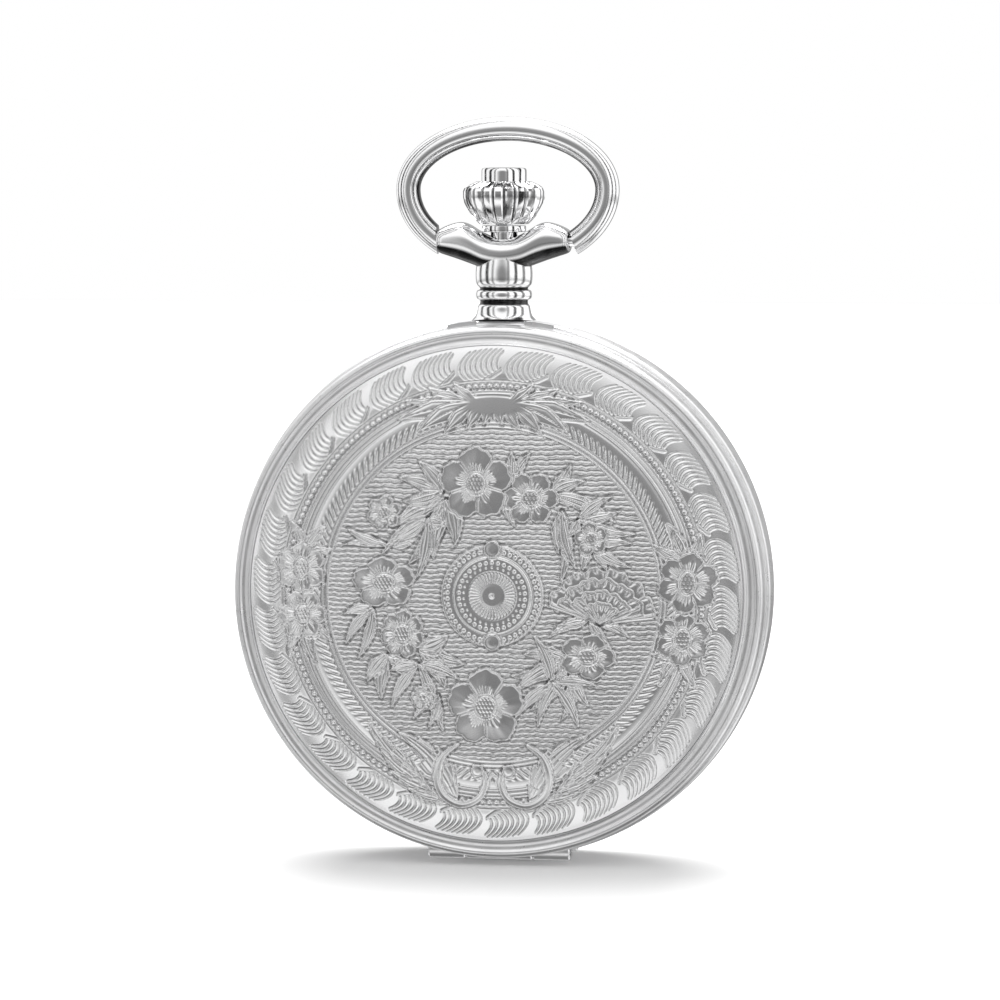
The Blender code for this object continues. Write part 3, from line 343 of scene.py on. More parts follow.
def round_stem(radius, height, angle):
    """For lathe: turns (radius, height) round the winding stem's axis."""
    x, y = radius * np.cos(angle), -STEM_DEPTH + radius * np.sin(angle)
    return np.stack([x, y, height + 0 * angle], axis=-1) * MM


ACROSS = about_depth()
ON_BOW_PIVOT = about_x(-STEM_DEPTH, BOW_PIVOT_Z)


def bezier(start, middle, end, count):
    t = np.linspace(0, 1, count)[:, None]
    a, b, c = (np.array(p, float) for p in (start, middle, end))
    return (1 - t) ** 2 * a + 2 * t * (1 - t) * b + t * t * c


def rounded(profile, radius, steps=4):
    """A closed profile with each corner turned into a short curve."""
    points = np.array(profile, float)
    made = []
    for i, corner in enumerate(points):
        ways = points[i - 1] - corner, points[(i + 1) % len(points)] - corner
        reach = min(radius, *[0.45 * hypot(*way) for way in ways])
        before, after = (corner + way / hypot(*way) * reach for way in ways)
        made.append(bezier(before, corner, after, steps + 1))
    return np.vstack(made)


def smoothed(profile, per):
    """A smooth curve through the profile's points."""
    points = np.array(profile, float)
    made = []
    for i in range(len(points) - 1):
        before, a = points[max(i - 1, 0)], points[i]
        b, after = points[i + 1], points[min(i + 2, len(points) - 1)]
        for t in np.arange(per) / per:
            bent = 2 * a + (b - before) * t + (2 * before - 5 * a + 4 * b - after) * t**2
            made.append(0.5 * (bent + (3 * a - before - 3 * b + after) * t**3))
    made.append(points[-1])
    return np.array(made)


def as_mesh(made):
    """A finished bmesh as mesh data."""
    data = bpy.data.meshes.new("piece")
    made.to_mesh(data)
    made.free()
    return data


def skin(rings, closed=False, whole=True):
    """A solid over rings of world points, a ring of one point being a tip.

    A closed skin joins its last ring to its first; one that is not whole is a cut-out of a turn.
    """
    made = bmesh.new()
    count = max(len(ring) for ring in rings)
    loops = []
    for ring in rings:
        loop = [made.verts.new(point) for point in ring]
        loops.append(loop * count if len(loop) == 1 else loop)
    for low, high in zip(loops, loops[1:] + loops[: int(closed)]):
        for i in range(count if whole else count - 1):
            j = (i + 1) % count
            corners = list(dict.fromkeys((low[i], low[j], high[j], high[i])))
            if len(corners) > 2:
                made.faces.new(corners)
    ends = [] if closed else [loops[0][::-1], loops[-1]]
    if not whole:
        ends += [[loop[0] for loop in loops], [loop[-1] for loop in reversed(loops)]]
    for end in ends:
        if len(set(end)) > 2:
            made.faces.new(end)
    bmesh.ops.recalc_face_normals(made, faces=made.faces)
    return as_mesh(made)


def lathe(profile, around, steps=LATHE_STEPS, closed=True, start=0.0, end=360.0):
    """A profile of (radius, place on the axis) turned by the function around."""
    whole = end - start >= 360.0
    angles = np.radians(start + (end - start) * np.arange(steps if whole else steps + 1) / steps)
    rings = [around(r, place, angles if r > 1e-6 else angles[:1]) for r, place in profile]
    return skin(rings, closed, whole)


def rod(radius, low, high, around=round_stem, steps=48):
    return lathe([(0, low), (radius, low), (radius, high), (0, high)], around, steps, closed=False)


def pin(radius, half, depth, middle=0.0, edge=0.12):
    """A pin or knuckle on a hinge's axis, its ends bevelled."""
    side = [(radius - edge, -half), (radius, -half + edge), (radius, half - edge), (radius - edge, half)]
    return lathe([(0, -half), *side, (0, half)], about_x(-depth, HINGE_Z, middle), 32, closed=False)


def prism(outline, low, high):
    """An (x, z) outline between two depths."""
    return skin([[(MM * x, -MM * depth, MM * z) for x, z in outline] for depth in (low, high)])


def merged(meshes):
    """Several meshes as one, their bodies side by side."""
    made = bmesh.new()
    for mesh in meshes:
        made.from_mesh(mesh)
        bpy.data.meshes.remove(mesh)
    return as_mesh(made)


def slab(across, depths, heights, round_off):
    """A block between these places in mm, each pair the lower first, with rounded edges."""
    made = bmesh.new()
    bmesh.ops.create_cube(made, size=1.0)
    sides = across, (-depths[1], -depths[0]), heights
    for vert in made.verts:
        vert.co = [MM * (a + (b - a) * (c + 0.5)) for (a, b), c in zip(sides, vert.co)]
    edges = made.edges[:]
    bmesh.ops.bevel(made, geom=edges, offset=round_off * MM, segments=3, affect="EDGES", profile=0.5)
    return as_mesh(made)


def evaluated(obj):
    """The mesh that an object shows once its modifiers have run."""
    bpy.context.view_layer.update()
    graph = bpy.context.evaluated_depsgraph_get()
    return bpy.data.meshes.new_from_object(obj.evaluated_get(graph))


def boolean(target, tools, operation):
    """The mesh after each tool in turn has been taken from it or joined to it."""
    for tool in tools:
        made = [in_scene("boolean", mesh) for mesh in (target, tool)]
        change = made[0].modifiers.new("Change", "BOOLEAN")
        change.operation, change.solver, change.object = operation, "EXACT", made[1]
        target = evaluated(made[0])
        for obj in made:
            bpy.data.objects.remove(obj, do_unlink=True)
    return target


def cut(target, *tools):
    return boolean(target, tools, "DIFFERENCE")


def joined(target, *tools):
    return boolean(target, tools, "UNION")


def keep_relief_and_shade(mesh, values):
    """Stores on a mesh how light (1) or dark (0) each of its points is: polished tops and oxide in the
    engraved cuts, painted shade on the crown, pendant neck and bow.
    """
    kept = mesh.attributes.new("relief", "FLOAT", "POINT")
    kept.data.foreach_set("value", np.clip(values, 0.0, 1.0).astype(np.float32))


def points_of(mesh):
    """A mesh's points in mm, and their normals."""
    made = np.empty((2, 3 * len(mesh.vertices)))
    mesh.vertices.foreach_get("co", made[0])
    mesh.vertices.foreach_get("normal", made[1])
    return made[0].reshape(-1, 3) / MM, made[1].reshape(-1, 3)


# ---------------------------------------------------------------- engraving
# Heights are in mm from the panel's own surface, which is 0; nothing rises past it.


def soft(low, high, value):
    """0 below low, 1 above high, and a smooth rise between them."""
    t = np.clip((value - low) / (high - low), 0.0, 1.0)
    return t * t * (3.0 - 2.0 * t)


def line_at(value, middle, half):
    """1 on the middle of a drawn line, falling to 0 beyond its half width."""
    return np.exp(-(((value - middle) / half) ** 2))


def wave(count, phase):
    return 0.5 + 0.5 * np.cos(count * phase)


class Relief:
    """A height map of the lid's pattern, painted motif by motif."""

    def __init__(self, radius):
        self.reach = radius + 0.3
        self.count = int(2 * self.reach / PITCH) + 1
        axis = np.linspace(-self.reach, self.reach, self.count)
        self.u, self.v = np.meshgrid(axis, axis)
        self.r = np.hypot(self.u, self.v)
        self.angle = np.arctan2(self.v, self.u)
        self.h = np.full(self.u.shape, GROUND)

    def window(self, centre, reach):
        """The patch of the map round a point, as slices and coordinates from that point."""
        low = [max(0, int((c - reach + self.reach) / PITCH)) for c in centre]
        high = [min(self.count, int((c + reach + self.reach) / PITCH) + 2) for c in centre]
        part = (slice(low[1], high[1]), slice(low[0], high[0]))
        return part, self.u[part] - centre[0], self.v[part] - centre[1]

    def blend(self, cover, height, part=...):
        """Turns the map to this height where the cover is 1."""
        self.h[part] = self.h[part] * (1 - cover) + height * cover

    def raised(self, part, inside, top, edge=0.05, rim=0.03, moat=0.055):
        """A raised shape: a soft wall, a bright rim along the edge and a cut line round it."""
        cover = soft(-0.045, 0.045, inside)
        lifted = top + rim * line_at(inside, edge + 0.03, edge)
        lifted = np.minimum(lifted, 0.0)
        self.h[part] -= moat * line_at(inside, -0.09, 0.075)
        self.blend(cover, lifted, part)

    def sample(self, u, v):
        """Heights at any points, between the map's own."""
        x = np.clip((u + self.reach) / PITCH, 0, self.count - 2.001)
        y = np.clip((v + self.reach) / PITCH, 0, self.count - 2.001)
        i, j = x.astype(int), y.astype(int)
        fx, fy = x - i, y - j
        h = self.h
        low = h[j, i] * (1 - fx) + h[j, i + 1] * fx
        high = h[j + 1, i] * (1 - fx) + h[j + 1, i + 1] * fx
        return low * (1 - fy) + high * fy


def hatch(relief):
    """Fine wavering lines across the field, as a graver leaves them."""
    u, v = relief.u, relief.v
    drift = 0.035 * np.sin(0.9 * u + 1.7 * np.sin(0.31 * v)) + 0.02 * np.sin(2.3 * u + 0.8 * v)
    drift += 0.03 * np.sin(5.1 * u - 1.9 * v) + 0.022 * np.sin(9.7 * u + 2.2 * v)
    rows = (v + drift) / 0.425
    ridge = wave(1.0, 2 * np.pi * rows) ** 1.6
    row = np.round(rows)
    breaks = np.sin(1.35 * u + 2.4 * row) + np.sin(0.57 * u - 1.3 * row)
    ridge *= 0.6 + 0.4 * soft(-1.85, -1.5, breaks)
    ridge *= 0.86 + 0.14 * np.sin(9.0 * u + 4.0 * row)
    field = GROUND + (HATCH_TOP + 0.02 - GROUND) * ridge
    relief.blend(soft(FIELD_R + 0.05, FIELD_R - 0.1, relief.r), field)


def ring_line(relief, radius, half, top):
    relief.blend(line_at(relief.r, radius, half), np.maximum(relief.h, top))


def rings(relief):
    """The rings round the field: plain lines, a laurel band and a row of beads."""
    r, angle = relief.r, relief.angle
    relief.blend(soft(FIELD_R, FIELD_R + 0.2, r), -0.075)
    for radius in (14.42, 14.78):
        ring_line(relief, radius, 0.09, -0.01)
        relief.h -= 0.06 * line_at(r, radius + 0.17, 0.08)
    # laurel: a smooth band with slanting strokes along its inner side, the same on both halves
    band = soft(14.95, 15.15, r) * soft(16.75, 16.5, r)
    relief.blend(band, -0.085 + 0.07 * line_at(r, 16.1, 0.75))
    lean = np.abs(np.abs(angle) - np.pi / 2)
    upper = np.where(relief.v > 0, 1.0, -1.0)
    slant = 158.0 * lean + upper * 9.0 * (r - 15.4)
    strokes = wave(1.0, slant) ** 2.2 * soft(15.0, 15.2, r) * soft(16.15, 15.75, r)
    relief.h += 0.085 * strokes - 0.03 * line_at(r, 15.5, 0.42)
    for radius in (16.9, 17.28, 17.55, 18.3):
        ring_line(relief, radius, 0.075, -0.012)
        relief.h -= 0.05 * line_at(r, radius + 0.15, 0.07)
    beads_r, pitch = 17.92, 0.60
    bead = (angle * beads_r / pitch) % 1.0 - 0.5
    spot = np.hypot(bead * pitch, r - beads_r)
    relief.h += 0.075 * soft(0.27, 0.1, spot) - 0.06 * line_at(spot, 0.3, 0.06)


def shells(relief):
    """The border: nests of cut arcs that grow anticlockwise, each beside a curved spine."""
    r, inner, count = relief.r, 18.45, 30
    width = 2 * np.pi * 19.6 / count
    turn = (-relief.angle / (2 * np.pi)) * count + 0.31
    place = (turn % 1.0) * width
    out = r - inner
    bed = soft(inner - 0.12, inner + 0.02, r)
    relief.blend(bed, -0.03 + 0.02 * soft(0.1, 0.6, out))
    cuts = np.zeros_like(r)
    for shift in (-width, 0.0, width):
        along_border = place + shift
        # each nest leans inwards as its arcs grow, and its arcs open clockwise
        x = 0.97 * width - along_border
        y = out - 1.42 + 0.12 * x
        nest = (x + y**2 / 1.7) / 0.46
        reach = np.where(y > 0, 1.36, 0.15 + 1.25 * np.clip(nest / 8.0, 0.0, 1.0) ** 0.6)
        inside = reach - np.abs(y)
        arcs = wave(1.0, 2 * np.pi * nest) ** 1.9 * soft(-0.03, 0.1, inside)
        arcs *= soft(0.45, 0.8, nest) * soft(8.4, 7.9, nest) * soft(-0.2, 0.0, x)
        spine = line_at(inside, -0.17, 0.09) * (y < 0) * soft(0.1, 0.6, nest) * soft(9.2, 8.4, nest)
        cuts = np.maximum(cuts, np.maximum(arcs, 1.1 * spine))
    edge = soft(21.15, 20.98, r) * soft(0.05, 0.15, out) * bed
    relief.h -= 0.08 * cuts * edge
    relief.h = np.minimum(relief.h, 0.0)
    relief.blend(soft(21.0, 21.15, r), -0.012)


def along(path, u, v):
    """For each point: how far along the path it lies, 0 to 1, and its distance left of it."""
    best = np.full(u.shape, 1e9)
    place, side = np.zeros(u.shape), np.zeros(u.shape)
    ways = np.diff(path, axis=0)
    runs = np.hypot(ways[:, 0], ways[:, 1])
    ends = np.concatenate([[0], np.cumsum(runs)])
    for (x, y), way, run, before in zip(path[:-1], ways, runs, ends[:-1]):
        du, dv = u - x, v - y
        t = np.clip((du * way[0] + dv * way[1]) / run**2, 0, 1)
        gap = np.hypot(du - t * way[0], dv - t * way[1])
        nearer = gap < best
        best = np.where(nearer, gap, best)
        place = np.where(nearer, (before + t * run) / ends[-1], place)
        turned = np.sign(way[0] * dv - way[1] * du)
        side = np.where(nearer, turned * gap, side)
    return place, side


def leaf(relief, start, end, bend=0.2, width=0.5, lobes=0, veins=True, top=-0.05, full=0.45):
    """A leaf from start to its tip at end; bend bows it to the left, lobes notch its edges."""
    start, end = np.array(start, float), np.array(end, float)
    way = end - start
    middle = (start + end) / 2 + bend * np.array([-way[1], way[0]])
    path = bezier(start, middle, end, 26)
    centre = path.mean(axis=0)
    reach = np.abs(path - centre).max() + width + 0.4
    part, du, dv = relief.window(centre, reach)
    t, side = along(path - centre, du, dv)
    bell = np.clip(t / full, 0, 1) ** 0.7 * np.clip((1 - t) / (1 - full), 0, 1) ** 0.85
    half = width * np.where(t < full, np.clip(t / full, 0, 1) ** 0.7, bell)
    if lobes:
        saw = (t * lobes) % 1.0
        half = half * (0.66 + 0.46 * np.sqrt(saw) * (saw < 0.93))
    half = half + 0.03
    inside = half - np.abs(side)
    crest = top + 0.035 * soft(0, 0.5 * width + 0.05, inside)
    if veins:
        vein = np.abs(side) - (0.16 + 0.30 * width * bell)
        crest = crest - 0.045 * line_at(vein, 0.0, 0.055) * soft(0.05, 0.2, t) * soft(0.92, 0.7, t)
    crest = crest - 0.035 * line_at(side, 0.0, 0.05) * soft(0.97, 0.8, t)
    relief.raised(part, inside, crest, edge=0.03, rim=0.035)


def stroke(relief, points, width):
    """A scroll: a band along a smooth path through these points, tapering at its ends."""
    path = smoothed(points, 8)
    centre = (path.max(axis=0) + path.min(axis=0)) / 2
    part, du, dv = relief.window(centre, np.abs(path - centre).max() + width + 0.4)
    t, side = along(path - centre, du, dv)
    half = width * (0.25 + 0.75 * np.sqrt(np.clip(4 * t * (1 - t), 0, 1)))
    crest = -0.03 - 0.03 * line_at(side, 0.0, 0.3 * width)
    relief.raised(part, half - np.abs(side), crest, edge=0.045)


def flower(relief, centre, radius, petals=5, turn=90.0, heart=0.3, oval=1.0, squash=(1.0, 1.0), cup=0.55):
    """An open flower: domed petals with cut edges, a fringe of lines and a stippled heart."""
    part, du, dv = relief.window(centre, radius * max(squash) + 0.5)
    du, dv = du / squash[0], dv / squash[1]
    rho, phi = np.hypot(du, dv), np.arctan2(dv, du)
    beat = petals * (phi - radians(turn)) / 2
    swell = np.abs(np.cos(beat))
    edge = radius * (0.70 + 0.30 * swell**cup + 0.02 * np.cos(5 * beat) + 0.012 * np.cos(9 * beat + 1.0))
    inside = edge - rho
    dome = -0.07 + 0.055 * swell**0.8 * soft(0.0, 0.55 * radius, inside)
    dome = dome - 0.05 * line_at(np.cos(beat), 0.0, 0.11) * soft(heart * radius, 0.6 * radius, rho)
    core = heart * radius
    fringe = wave(round(14 + 7 * radius), phi + 0.15 * np.sin(3 * phi)) ** 1.5
    length = 0.28 + 0.22 * np.cos(petals * (phi - radians(turn))) + 0.12 * np.sin(11 * phi)
    reach = soft(core * (1.75 + length), core * (1.35 + length), rho) * soft(core, core * 1.15, rho)
    dome = dome - 0.02 * reach + 0.055 * fringe * reach
    relief.raised(part, inside, dome, edge=0.05, rim=0.035)
    # the heart, an oval boss with dots
    gap = core * 1.02 - np.hypot(du * oval, dv)
    dots = wave(2 * np.pi / 0.3, du + 0.5 * dv) * wave(2 * np.pi / 0.3, dv * 0.87)
    boss = -0.035 + 0.02 * soft(0, core, gap) + 0.03 * dots
    relief.raised(part, gap, boss, edge=0.04, moat=0.05)


def ruffle(relief, centre, height, turn):
    """A carnation from the side: fans of frilled petals, the largest behind."""
    part, du, dv = relief.window(centre, 2.2 * height)
    across = du * cos(radians(turn)) + dv * sin(radians(turn))
    up = dv * cos(radians(turn)) - du * sin(radians(turn)) + 1.05 * height
    rho, phi = np.hypot(across, up), np.arctan2(across, up)
    folds = 7
    for tier in range(4):
        grow = 2.05 * height * (1.0 - 0.21 * tier)
        frill = 0.075 * np.abs(np.sin(folds * phi + 0.9 * tier)) ** 0.7 + 0.02 * np.sin(3 * folds * phi)
        limit = radians(78 - 9 * tier)
        inside = np.minimum(grow * (0.95 + frill) - rho, (limit - np.abs(phi)) * rho)
        pleats = wave(34 - 4 * tier, phi) ** 1.8
        top = -0.075 + 0.05 * soft(0, 0.45, inside)
        top = top - 0.065 * pleats * soft(0.08, 0.2, inside) * soft(0.75, 0.4, inside)
        relief.raised(part, inside, top, edge=0.05, rim=0.035)


def medallion(relief):
    """The roundel in the middle: rings of beads, a sunburst, a plain heart and a stud above and below."""
    part, du, dv = relief.window((0, 0), 5.2)
    rho, phi = np.hypot(du, dv), np.arctan2(dv, du)
    relief.raised(part, 4.42 - rho, -0.055, edge=0.07, rim=0.045)
    h = relief.h[part]
    h += np.where(rho < 4.3, 0.05 * line_at(rho, 3.32, 0.07) - 0.03 * line_at(rho, 3.45, 0.07), 0)
    # beads: their ring, how many, the radius of their foot and of their flat top, and their height
    for radius, count, foot, flat, tall in (
        (3.86, 46, 0.20, 0.08, 0.065),
        (2.86, 34, 0.19, 0.07, 0.065),
        (4.16, 60, 0.12, 0.03, 0.035),
        (2.45, 30, 0.12, 0.03, 0.035),
    ):
        step = 2 * np.pi / count
        near = (phi % step) - step / 2
        h += tall * soft(foot, flat, np.hypot(near * radius, rho - radius))
    rays = wave(40, phi) ** 1.2 * soft(1.02, 1.2, rho) * soft(2.12, 1.85, rho)
    h += 0.065 * rays - 0.035 * soft(1.0, 1.15, rho) * soft(2.2, 2.0, rho)
    h += 0.02 * soft(1.02, 0.8, rho) + 0.035 * line_at(rho, 0.17, 0.07) - 0.05 * soft(0.12, 0.05, rho)
    np.minimum(h, 0.0, out=h)
    for side in (-1, 1):
        part, du, dv = relief.window((0, side * 4.0), 1.1)
        gap = 0.72 - np.hypot(du, dv)
        relief.raised(part, gap, -0.05 + 0.035 * soft(0, 0.5, gap), edge=0.045)


def spray(relief, root, tips, width, bend=0.14):
    """Leaves from one root, the outer ones bowing outwards."""
    for i, tip in enumerate(tips):
        lean = bend * (1 if i % 2 else -1)
        leaf(relief, root, tip, lean, width)


def wreath(relief):
    """Leaves first, as (root, tips, width), then the flowers that lie over them."""
    for sprig in (
        ((-4.0, 8.2), [(-8.6, 5.8), (-7.3, 2.6), (-5.1, 3.1), (-3.2, 4.3)], 0.85),
        ((-4.3, 8.9), [(-8.1, 10.0), (-7.7, 8.0), (-6.4, 11.4)], 0.7),
        ((4.9, 8.7), [(6.7, 11.3), (7.9, 9.9), (8.8, 8.5), (10.5, 6.4)], 0.6),
        ((6.0, 7.4), [(5.7, 3.7), (5.9, 1.2), (7.2, 2.4)], 0.55),
        ((8.5, 4.4), [(7.8, 2.3), (9.8, 2.3), (11.8, 2.6), (11.9, 4.6)], 0.5),
        ((1.2, 9.2), [(1.9, 6.0), (3.2, 12.2), (1.6, 12.3)], 0.65, 0.1),
        ((-9.0, 4.2), [(-12.9, 4.2), (-12.6, 5.6), (-6.5, 4.9)], 0.45),
        ((8.4, -1.8), [(4.9, -3.5), (5.6, -2.4), (10.2, -4.4), (11.7, -3.4)], 0.5),
        ((6.7, -5.5), [(2.7, -5.0), (1.7, -6.9), (1.9, -8.3), (3.3, -9.8)], 0.75),
        ((6.9, -5.9), [(3.9, -11.3), (6.0, -10.6), (8.3, -9.4)], 0.6, 0.2),
        ((-6.4, -4.6), [(-2.4, -5.9), (-4.1, -8.0), (-3.9, -3.5)], 0.85),
        ((-9.1, -5.2), [(-9.7, -9.1), (-7.2, -7.4), (-10.9, -7.6)], 0.7),
        ((-10.4, -1.2), [(-12.8, -4.4), (-11.7, -5.6), (-12.9, -1.8)], 0.5),
        ((-4.7, -8.6), [(-4.3, -11.8), (-5.6, -11.5), (-6.9, -10.8)], 0.42),
        ((-5.6, 6.6), [(-9.6, 3.4), (-8.9, 4.6), (-4.2, 6.2), (-6.6, 1.4)], 0.55),
        ((7.4, 6.6), [(10.9, 7.4), (10.2, 8.6), (12.2, 5.4), (6.6, 5.2)], 0.5),
        ((5.2, -7.4), [(3.6, -3.4), (8.9, -7.6), (1.9, -10.6), (7.4, -11.2)], 0.5),
        ((-6.4, -6.0), [(-8.8, -9.8), (-3.0, -7.2), (-8.9, -6.6), (-5.2, -10.6)], 0.55),
    ):
        spray(relief, *sprig)
    flower(relief, (-9.4, 7.0), 1.55, 6, 80, 0.34)
    flower(relief, (3.3, 8.4), 2.3, 6, 60, 0.30, squash=(1.05, 1.0))
    flower(relief, (-1.4, 9.6), 3.15, 5, 92, 0.27, oval=1.15)
    flower(relief, (8.5, 5.0), 1.5, 5, 100, 0.34)
    ruffle(relief, (9.5, 0.1), 2.35, -6.0)
    flower(relief, (8.2, -5.1), 2.2, 5, 70, 0.32, squash=(1.1, 0.92))
    flower(relief, (-9.4, 1.0), 2.6, 5, 95, 0.32, squash=(1.08, 0.86))
    flower(relief, (-7.8, -3.4), 2.05, 7, 85, 0.36, squash=(0.96, 1.05), cup=0.35)
    flower(relief, (-6.0, -8.9), 1.15, 6, 60, 0.36)
    flower(relief, (-0.6, -9.6), 3.35, 5, 90, 0.27)


def palmette(relief):
    """The spread wings of smooth leaves over the field, on one smooth body."""
    wings = [(3.4, 18.1, 0.10, 0.50), (5.6, 17.7, 0.08, 0.58), (7.6, 16.6, 0.04, 0.66)]
    wings += [(8.2, 15.0, -0.06, 0.70), (6.4, 14.0, -0.10, 0.66), (4.2, 13.9, -0.06, 0.56)]
    wings += [(2.3, 14.2, -0.02, 0.50), (0.8, 14.6, 0.0, 0.42)]
    for side in (-1, 1):
        for x, y, bend, width in wings:
            root = (side * min(0.35 * x, 2.0), 16.4)
            leaf(relief, root, (side * x, y), -side * bend, width, veins=False, top=-0.035, full=0.5)
    part, du, dv = relief.window((0, 16.3), 4.2)
    body = soft(1.0, 0.5, np.hypot(du / 4.0, dv / 1.25))
    relief.blend(body, -0.035 + 0.02 * body, part)


def corner_flowers(relief):
    """The pairs of flowers at 9 and 3 o'clock, over the rings."""
    spray(relief, (-16.4, 3.4), [(-17.6, 6.1), (-14.6, 5.7), (-13.9, 3.9)], 0.5)
    spray(relief, (-16.6, -2.6), [(-15.5, -6.0), (-14.0, -4.2), (-17.8, -5.4)], 0.5)
    spray(relief, (16.6, 3.0), [(15.0, 6.2), (13.7, 4.6), (17.8, 5.4)], 0.55)
    spray(relief, (16.2, -4.6), [(14.4, -7.4), (13.6, -4.8), (17.4, -7.6)], 0.5)
    flower(relief, (-16.7, 2.1), 2.25, 6, 92, 0.36, oval=1.45)
    flower(relief, (-16.6, -1.9), 2.15, 6, 62, 0.36, oval=1.45)
    flower(relief, (16.3, -3.5), 2.35, 6, 84, 0.36, oval=1.35)
    flower(relief, (16.7, 1.3), 2.65, 6, 80, 0.34, oval=1.45)


def scrolls(relief):
    """Facing scrolls at 6 o'clock with an acanthus leaf to each side."""
    for side in (-1, 1):
        for root, tip, bend, width in (
            ((3.2, -18.0), (8.2, -12.0), 0.22, 1.15),
            ((5.6, -16.6), (10.7, -11.2), -0.12, 0.85),
            ((5.4, -16.9), (9.8, -13.5), -0.10, 0.75),
            ((4.6, -17.4), (9.0, -15.3), -0.10, 0.65),
            ((4.0, -17.8), (7.4, -16.9), -0.08, 0.5),
        ):
            ends = [(side * x, y) for x, y in (root, tip)]
            leaf(relief, *ends, bend=side * bend, width=width, lobes=5)
        hook = [(3.0, -12.9), (4.3, -13.9), (4.9, -15.6), (4.4, -17.3), (2.9, -18.15), (1.3, -17.6)]
        hook += [(0.65, -16.2), (0.9, -15.1)]
        stroke(relief, [(side * x, y) for x, y in hook], 0.34)
        part, du, dv = relief.window((side * 1.35, -15.15), 1.0)
        gap = 0.55 - np.hypot(du, dv)
        relief.raised(part, gap, -0.045 + 0.035 * soft(0, 0.4, gap), edge=0.04, rim=0.02)


def front_relief(radius):
    relief = Relief(radius)
    hatch(relief)
    rings(relief)
    shells(relief)
    wreath(relief)
    medallion(relief)
    palmette(relief)
    corner_flowers(relief)
    scrolls(relief)
    relief.h = np.minimum(relief.h, 0.0)
    return relief


# ---------------------------------------------------------------- engraved plates


def front_depth(r):
    """Depth of the front panel's domed surface."""
    return LID_TOP - 0.0015 * r**2 - 0.813 * (r / PANEL_R) ** 7.2


def back_depth(r):
    """Depth of the back panel's surface: flat, then falling to its edge."""
    return np.clip((r - 14.0) / 7.4, 0.0, None) ** 1.9


def disc_grid(cells):
    """A square grid bent to a disc of radius 1 with its cells kept alike."""
    side = np.linspace(-1.0, 1.0, 2 * cells + 1)
    a, b = np.meshgrid(side, side)
    wide = np.abs(a) > np.abs(b)
    long, short = np.where(wide, a, b), np.where(wide, b, a)
    turn = (pi / 4) * short / np.where(long == 0, 1.0, long)
    turn = np.where(wide, turn, pi / 2 - turn)
    return long * np.cos(turn), long * np.sin(turn)


def plate_surface(relief, u, v, depth_of, outward):
    """World points of a panel's engraved surface."""
    return face_up(np.stack([u, v, depth_of(np.hypot(u, v)) + outward * relief.sample(u, v)], axis=-1))


def plate_normals(relief, u, v, depth_of, outward):
    """Normals of that surface, from its slope over one step of the pattern each way."""
    ways = []
    for du, dv in ((PITCH, 0.0), (0.0, PITCH)):
        ahead = plate_surface(relief, u + du, v + dv, depth_of, outward)
        ways.append(ahead - plate_surface(relief, u - du, v - dv, depth_of, outward))
    normal = np.cross(*ways) * outward
    return normal / np.linalg.norm(normal, axis=-1, keepdims=True)


def grid_mesh(top, floor, flip):
    """A closed mesh: a grid of top points, walls down from its edge and one face across the floor.

    The floor has a point under each of the top's, of which only those under the edge are used.
    """
    rows, columns = top.shape[:2]
    index = np.arange(rows * columns).reshape(rows, columns)
    edge = np.concatenate([index[0, :-1], index[:-1, -1], index[-1, :0:-1], index[:0:-1, 0]])
    below = rows * columns + np.arange(len(edge))
    quads = np.stack([index[:-1, :-1], index[:-1, 1:], index[1:, 1:], index[1:, :-1]], axis=-1)
    walls = np.stack([edge, below, np.roll(below, -1), np.roll(edge, -1)], axis=-1)
    quads = np.concatenate([quads.reshape(-1, 4), walls])
    base = below[::-1]
    if flip:
        quads, base = quads[:, ::-1], base[::-1]
    points = np.concatenate([top.reshape(-1, 3), floor.reshape(-1, 3)[edge]])
    mesh = bpy.data.meshes.new("plate")
    mesh.vertices.add(len(points))
    mesh.vertices.foreach_set("co", points.astype(np.float32).ravel())
    mesh.loops.add(quads.size + len(base))
    mesh.loops.foreach_set("vertex_index", np.concatenate([quads.ravel(), base]).astype(np.int32))
    mesh.polygons.add(len(quads) + 1)
    starts = np.append(np.arange(len(quads)) * 4, quads.size)
    mesh.polygons.foreach_set("loop_start", starts.astype(np.int32))
    mesh.update(calc_edges=True)
    return mesh


def engraved_plates(name, relief, cells, depth_of, outward, node):
    """The panel's engraved skin, in four quarters whose edges meet."""
    u, v = disc_grid(cells)
    u, v = u * PLATE_R, v * PLATE_R
    points = plate_surface(relief, u, v, depth_of, outward)
    floor = face_up(np.stack([u, v, depth_of(np.hypot(u, v)) - outward * PLATE_SKIN], axis=-1))
    normals = plate_normals(relief, u, v, depth_of, outward)
    polish_and_shade = 1.0 + relief.sample(u, v) / DULL_DEPTH
    halves = (slice(0, cells + 1), slice(cells, None))
    for row, rows in zip(("lower", "upper"), halves):
        for column, columns in zip(("left", "right"), halves):
            part = (rows, columns)
            mesh = grid_mesh(points[part], floor[part], flip=outward < 0)
            tops = normals[part].reshape(-1, 3)
            beneath = len(mesh.vertices) - len(tops)
            keep_relief_and_shade(mesh, np.append(polish_and_shade[part].ravel(), np.ones(beneath)))
            piece = f"{name}_engraving_{row}_{column}"
            finished(piece, mesh, node, f"engraved_{name}", sharp=None)
            mesh.shade_smooth()
            inward = np.tile([0.0, float(outward), 0.0], (beneath, 1))
            mesh.normals_split_custom_set_from_vertices(np.concatenate([tops, inward]).tolist())


